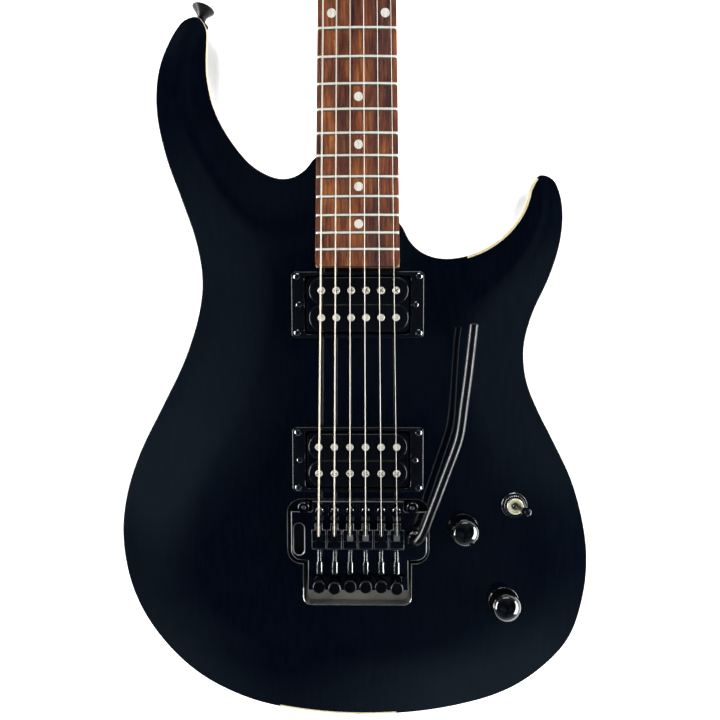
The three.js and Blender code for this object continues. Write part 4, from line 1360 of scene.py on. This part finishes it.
def make_knobs():
    floor = TOP_Z + 0.4
    side = [
        (9.8, 0), (10.4, 0.1), (10.55, 0.4), (10.4, 0.7), (10.2, 1), (10.15, 4), (10.1, 7.6), (9.8, 9.1),
        (9.3, 10.2), (8.6, 11.3), (7.7, 12.3), (6.5, 13.25), (5, 14.2), (3.2, 15.1), (1.6, 15.62), (0, 15.75),
    ]
    profile = [(0, 29), (2.9, 29), (2.9, floor + 4), (8.4, floor + 4), (8.4, floor)]
    profile += [(p.x, p.y) for p in spline([(radius, floor + rise) for radius, rise in side], 3)]
    for name in ("volume_knob", "tone_knob"):
        spot = centre(name)
        Piece().add(turned(profile, 64), KNOB_BLACK, at=(spot.x, spot.y, 0)).build(f"{name}_dome", name)


def make_toggle():
    spot = centre("toggle_switch")
    place = {"at": (spot.x, spot.y, TOP_Z)}
    switch = Piece()
    switch.add(ring_shape(4, 8.8, GAP, 1.2, 48), POLISHED_DARK, **place)
    switch.add(knurled(7.3, 1, 2.6, 36, 0.25, 0.45), BRIGHT_BLACK, **place)
    switch.add(turned([(0, 1.5), (4.2, 1.5), (4.2, 3.3), (2.6, 2.8), (0, 2.8)], 32), PALE_BRASS, **place)
    switch.add(ring_shape(4.1, 5.5, 1.5, 4.1, 40), PALE_BRASS, **place)
    switch.add(prism(circle(5.8, 28), 30 - TOP_Z, 0.5), PALE_BRASS, **place)
    case = slab(spot.x - 9, spot.x + 9, spot.y - 12.5, spot.y + 12.5, 1, 10, 31)
    switch.add(softened(case, 0.6, 2), PLASTIC)
    switch.build("toggle_base", "toggle_switch")
    tilt = math.radians(18)
    lever = turned([
        (0, -2), (2.2, -1.3), (3, 0.2), (2.6, 1.7), (1.55, 3.2), (1.4, 6), (1.6, 8.5), (2.2, 11.4),
        (2.65, 13.6), (2.75, 15.2), (2.4, 16.6), (1.5, 17.45), (0, 17.7),
    ], 32)
    place = {"at": (spot.x, spot.y, TOP_Z + 1), "along": (math.sin(tilt), 0, math.cos(tilt))}
    Piece().add(lever, PLASTIC, **place).build("toggle_bat", "toggle_lever")


def make_jack():
    barrel = turned([
        (0, -37), (6, -37), (6, 0.6), (8.6, 0.6), (8.6, 1.1), (8.3, 1.3), (4.6, 1.3), (4.4, 2.2), (3.4, 2.4),
        (3.3, 2.1), (3.3, -30), (0, -30),
    ], 40)
    nut = frame_of(circle(6.9, 6), circle(4.5, 6), 1.2, 2.3)
    jack = Piece().add(barrel, BRIGHT_BLACK, **jack_place())
    jack.add(softened(nut, 0.25, 2, 20), STEEL, **jack_place())
    jack.build("jack_socket", "output_jack")


def make_strap_buttons():
    button = turned([
        (0, -12), (1.2, -11.4), (1.9, -8), (1.9, 0), (5.2, 0), (5.5, 0.3), (5.5, 1), (5, 1.5), (3.6, 2.4),
        (3, 3.4), (2.9, 5), (3.2, 6.4), (4.9, 8.6), (7.2, 10.9), (7.6, 11.5), (7.6, 12), (7.2, 12.5),
        (6.4, 12.8), (3.9, 12.7), (3.2, 11.9), (0, 11.9),
    ], 40)
    for name, (at, along) in STRAP_BUTTONS.items():
        piece = Piece().add(button, BUTTON_METAL, at=at, along=along)
        head = [c + 11.7 * d for c, d in zip(at, Vector(along).normalized())]
        piece.add(cross_head(3.1, 1.1), STEEL, at=head, along=along)
        piece.build(f"{name}_metal", name)


def finish_cad_nodes():
    """The few CAD nodes that stay in view get a worked steel."""
    for name in ("truss_rod", "spring_claw", "volume_pot", "tone_pot"):
        for slot in frame["nodes"][name].material_slots:
            slot.material = STEEL


# ---- Camera, floor and light ----


def make_camera():
    """Looks almost straight down at the middle of the body from close above."""
    data = bpy.data.cameras.new("camera")
    data.sensor_width = 36
    data.lens = 27.56
    data.clip_start = 0.01
    data.shift_x = 0.0005
    data.shift_y = 0.002
    camera = bpy.data.objects.new("camera", data)
    bpy.context.collection.objects.link(camera)
    tilt = Matrix.Rotation(0.0501, 3, "X") @ Matrix.Rotation(-0.0136, 3, "Y")
    tilt = tilt @ Matrix.Rotation(0.0016, 3, "Z")
    place = Matrix.Translation(Vector((6.4, 197.96, 420.53)) * MM)
    camera.matrix_world = place @ tilt.transposed().to_4x4()
    bpy.context.scene.camera = camera


def make_floor():
    mesh = bpy.data.meshes.new("floor")
    reach = 6
    places = [(reach * x, reach * y, 0) for x, y in ((-1, -1), (1, -1), (1, 1), (-1, 1))]
    mesh.from_pydata(places, [], [(0, 1, 2, 3)])
    floor = bpy.data.objects.new("floor", mesh)
    floor.location.z = -0.0005
    bpy.context.collection.objects.link(floor)
    look, tree, shader = material("pale_floor", Roughness=0.9, Emission_Strength=0.95)
    pale = ramp(tree, noise(tree, 300), (0.3, (0.86, 0.86, 0.86)), (0.7, (0.9, 0.9, 0.9)))
    plug(tree, shader, Base_Color=pale, Emission_Color=pale)
    mesh.materials.append(look)


def add_light(name, at, size, power, aim=(0.02, 0.15, 0.05), mirrored=True):
    data = bpy.data.lights.new(name, "AREA")
    data.shape = "RECTANGLE"
    data.size, data.size_y = size
    data.energy = power
    light = bpy.data.objects.new(name, data)
    light.location = at
    light.rotation_euler = (Vector(aim) - Vector(at)).to_track_quat("-Z", "Y").to_euler()
    light.visible_glossy = mirrored
    bpy.context.collection.objects.link(light)


def make_light():
    """Soft boxes low at the sides, which edges and domes mirror, under a dark sky for the gloss top."""
    world = bpy.data.worlds.new("studio")
    bpy.context.scene.world = world
    world.use_nodes = True
    tree = world.node_tree
    direction = node(tree, "TexCoord").outputs["Generated"]
    height = node(tree, "SeparateXYZ", {"Vector": direction}).outputs["Z"]
    horizon = ramp(tree, height, (0.0, (0.5, 0.5, 0.5)), (0.2, (0.3, 0.3, 0.3)), (0.36, (0, 0, 0)))
    clouds = node(tree, "TexNoise", {"Vector": direction, "Scale": 1.6, "Detail": 1.0}).outputs["Fac"]
    room = ramp(tree, clouds, (0.36, (0.006, 0.012, 0.03)), (0.66, (0.12, 0.17, 0.22)))
    background = tree.nodes["Background"]
    tree.links.new(blended(tree, horizon, room, "ADD"), background.inputs["Color"])
    background.inputs["Strength"].default_value = 1.0
    add_light("right_box", (2.0, -0.15, 0.55), (2.4, 0.62), 96)
    add_light("left_box", (-2.0, 0.15, 0.56), (1.8, 0.45), 62)
    add_light("far_box", (0.1, 2.6, 0.7), (1.8, 0.4), 14)
    add_light("top_fill", (0.1, 0.3, 2.2), (2.0, 2.0), 34, mirrored=False)
    bpy.context.scene.view_settings.view_transform = "Standard"


make_camera()
make_floor()
make_light()
make_body()
make_neck()
make_fingerboard()
make_nut()
make_strings()
make_tuners()
make_pickup("neck_pickup", True)
make_pickup("bridge_pickup", False)
make_base_plate()
make_saddles()
make_fine_tuners()
make_arm()
make_posts()
make_block_and_springs()
make_covers()
make_knobs()
make_toggle()
make_jack()
make_strap_buttons()
finish_cad_nodes()
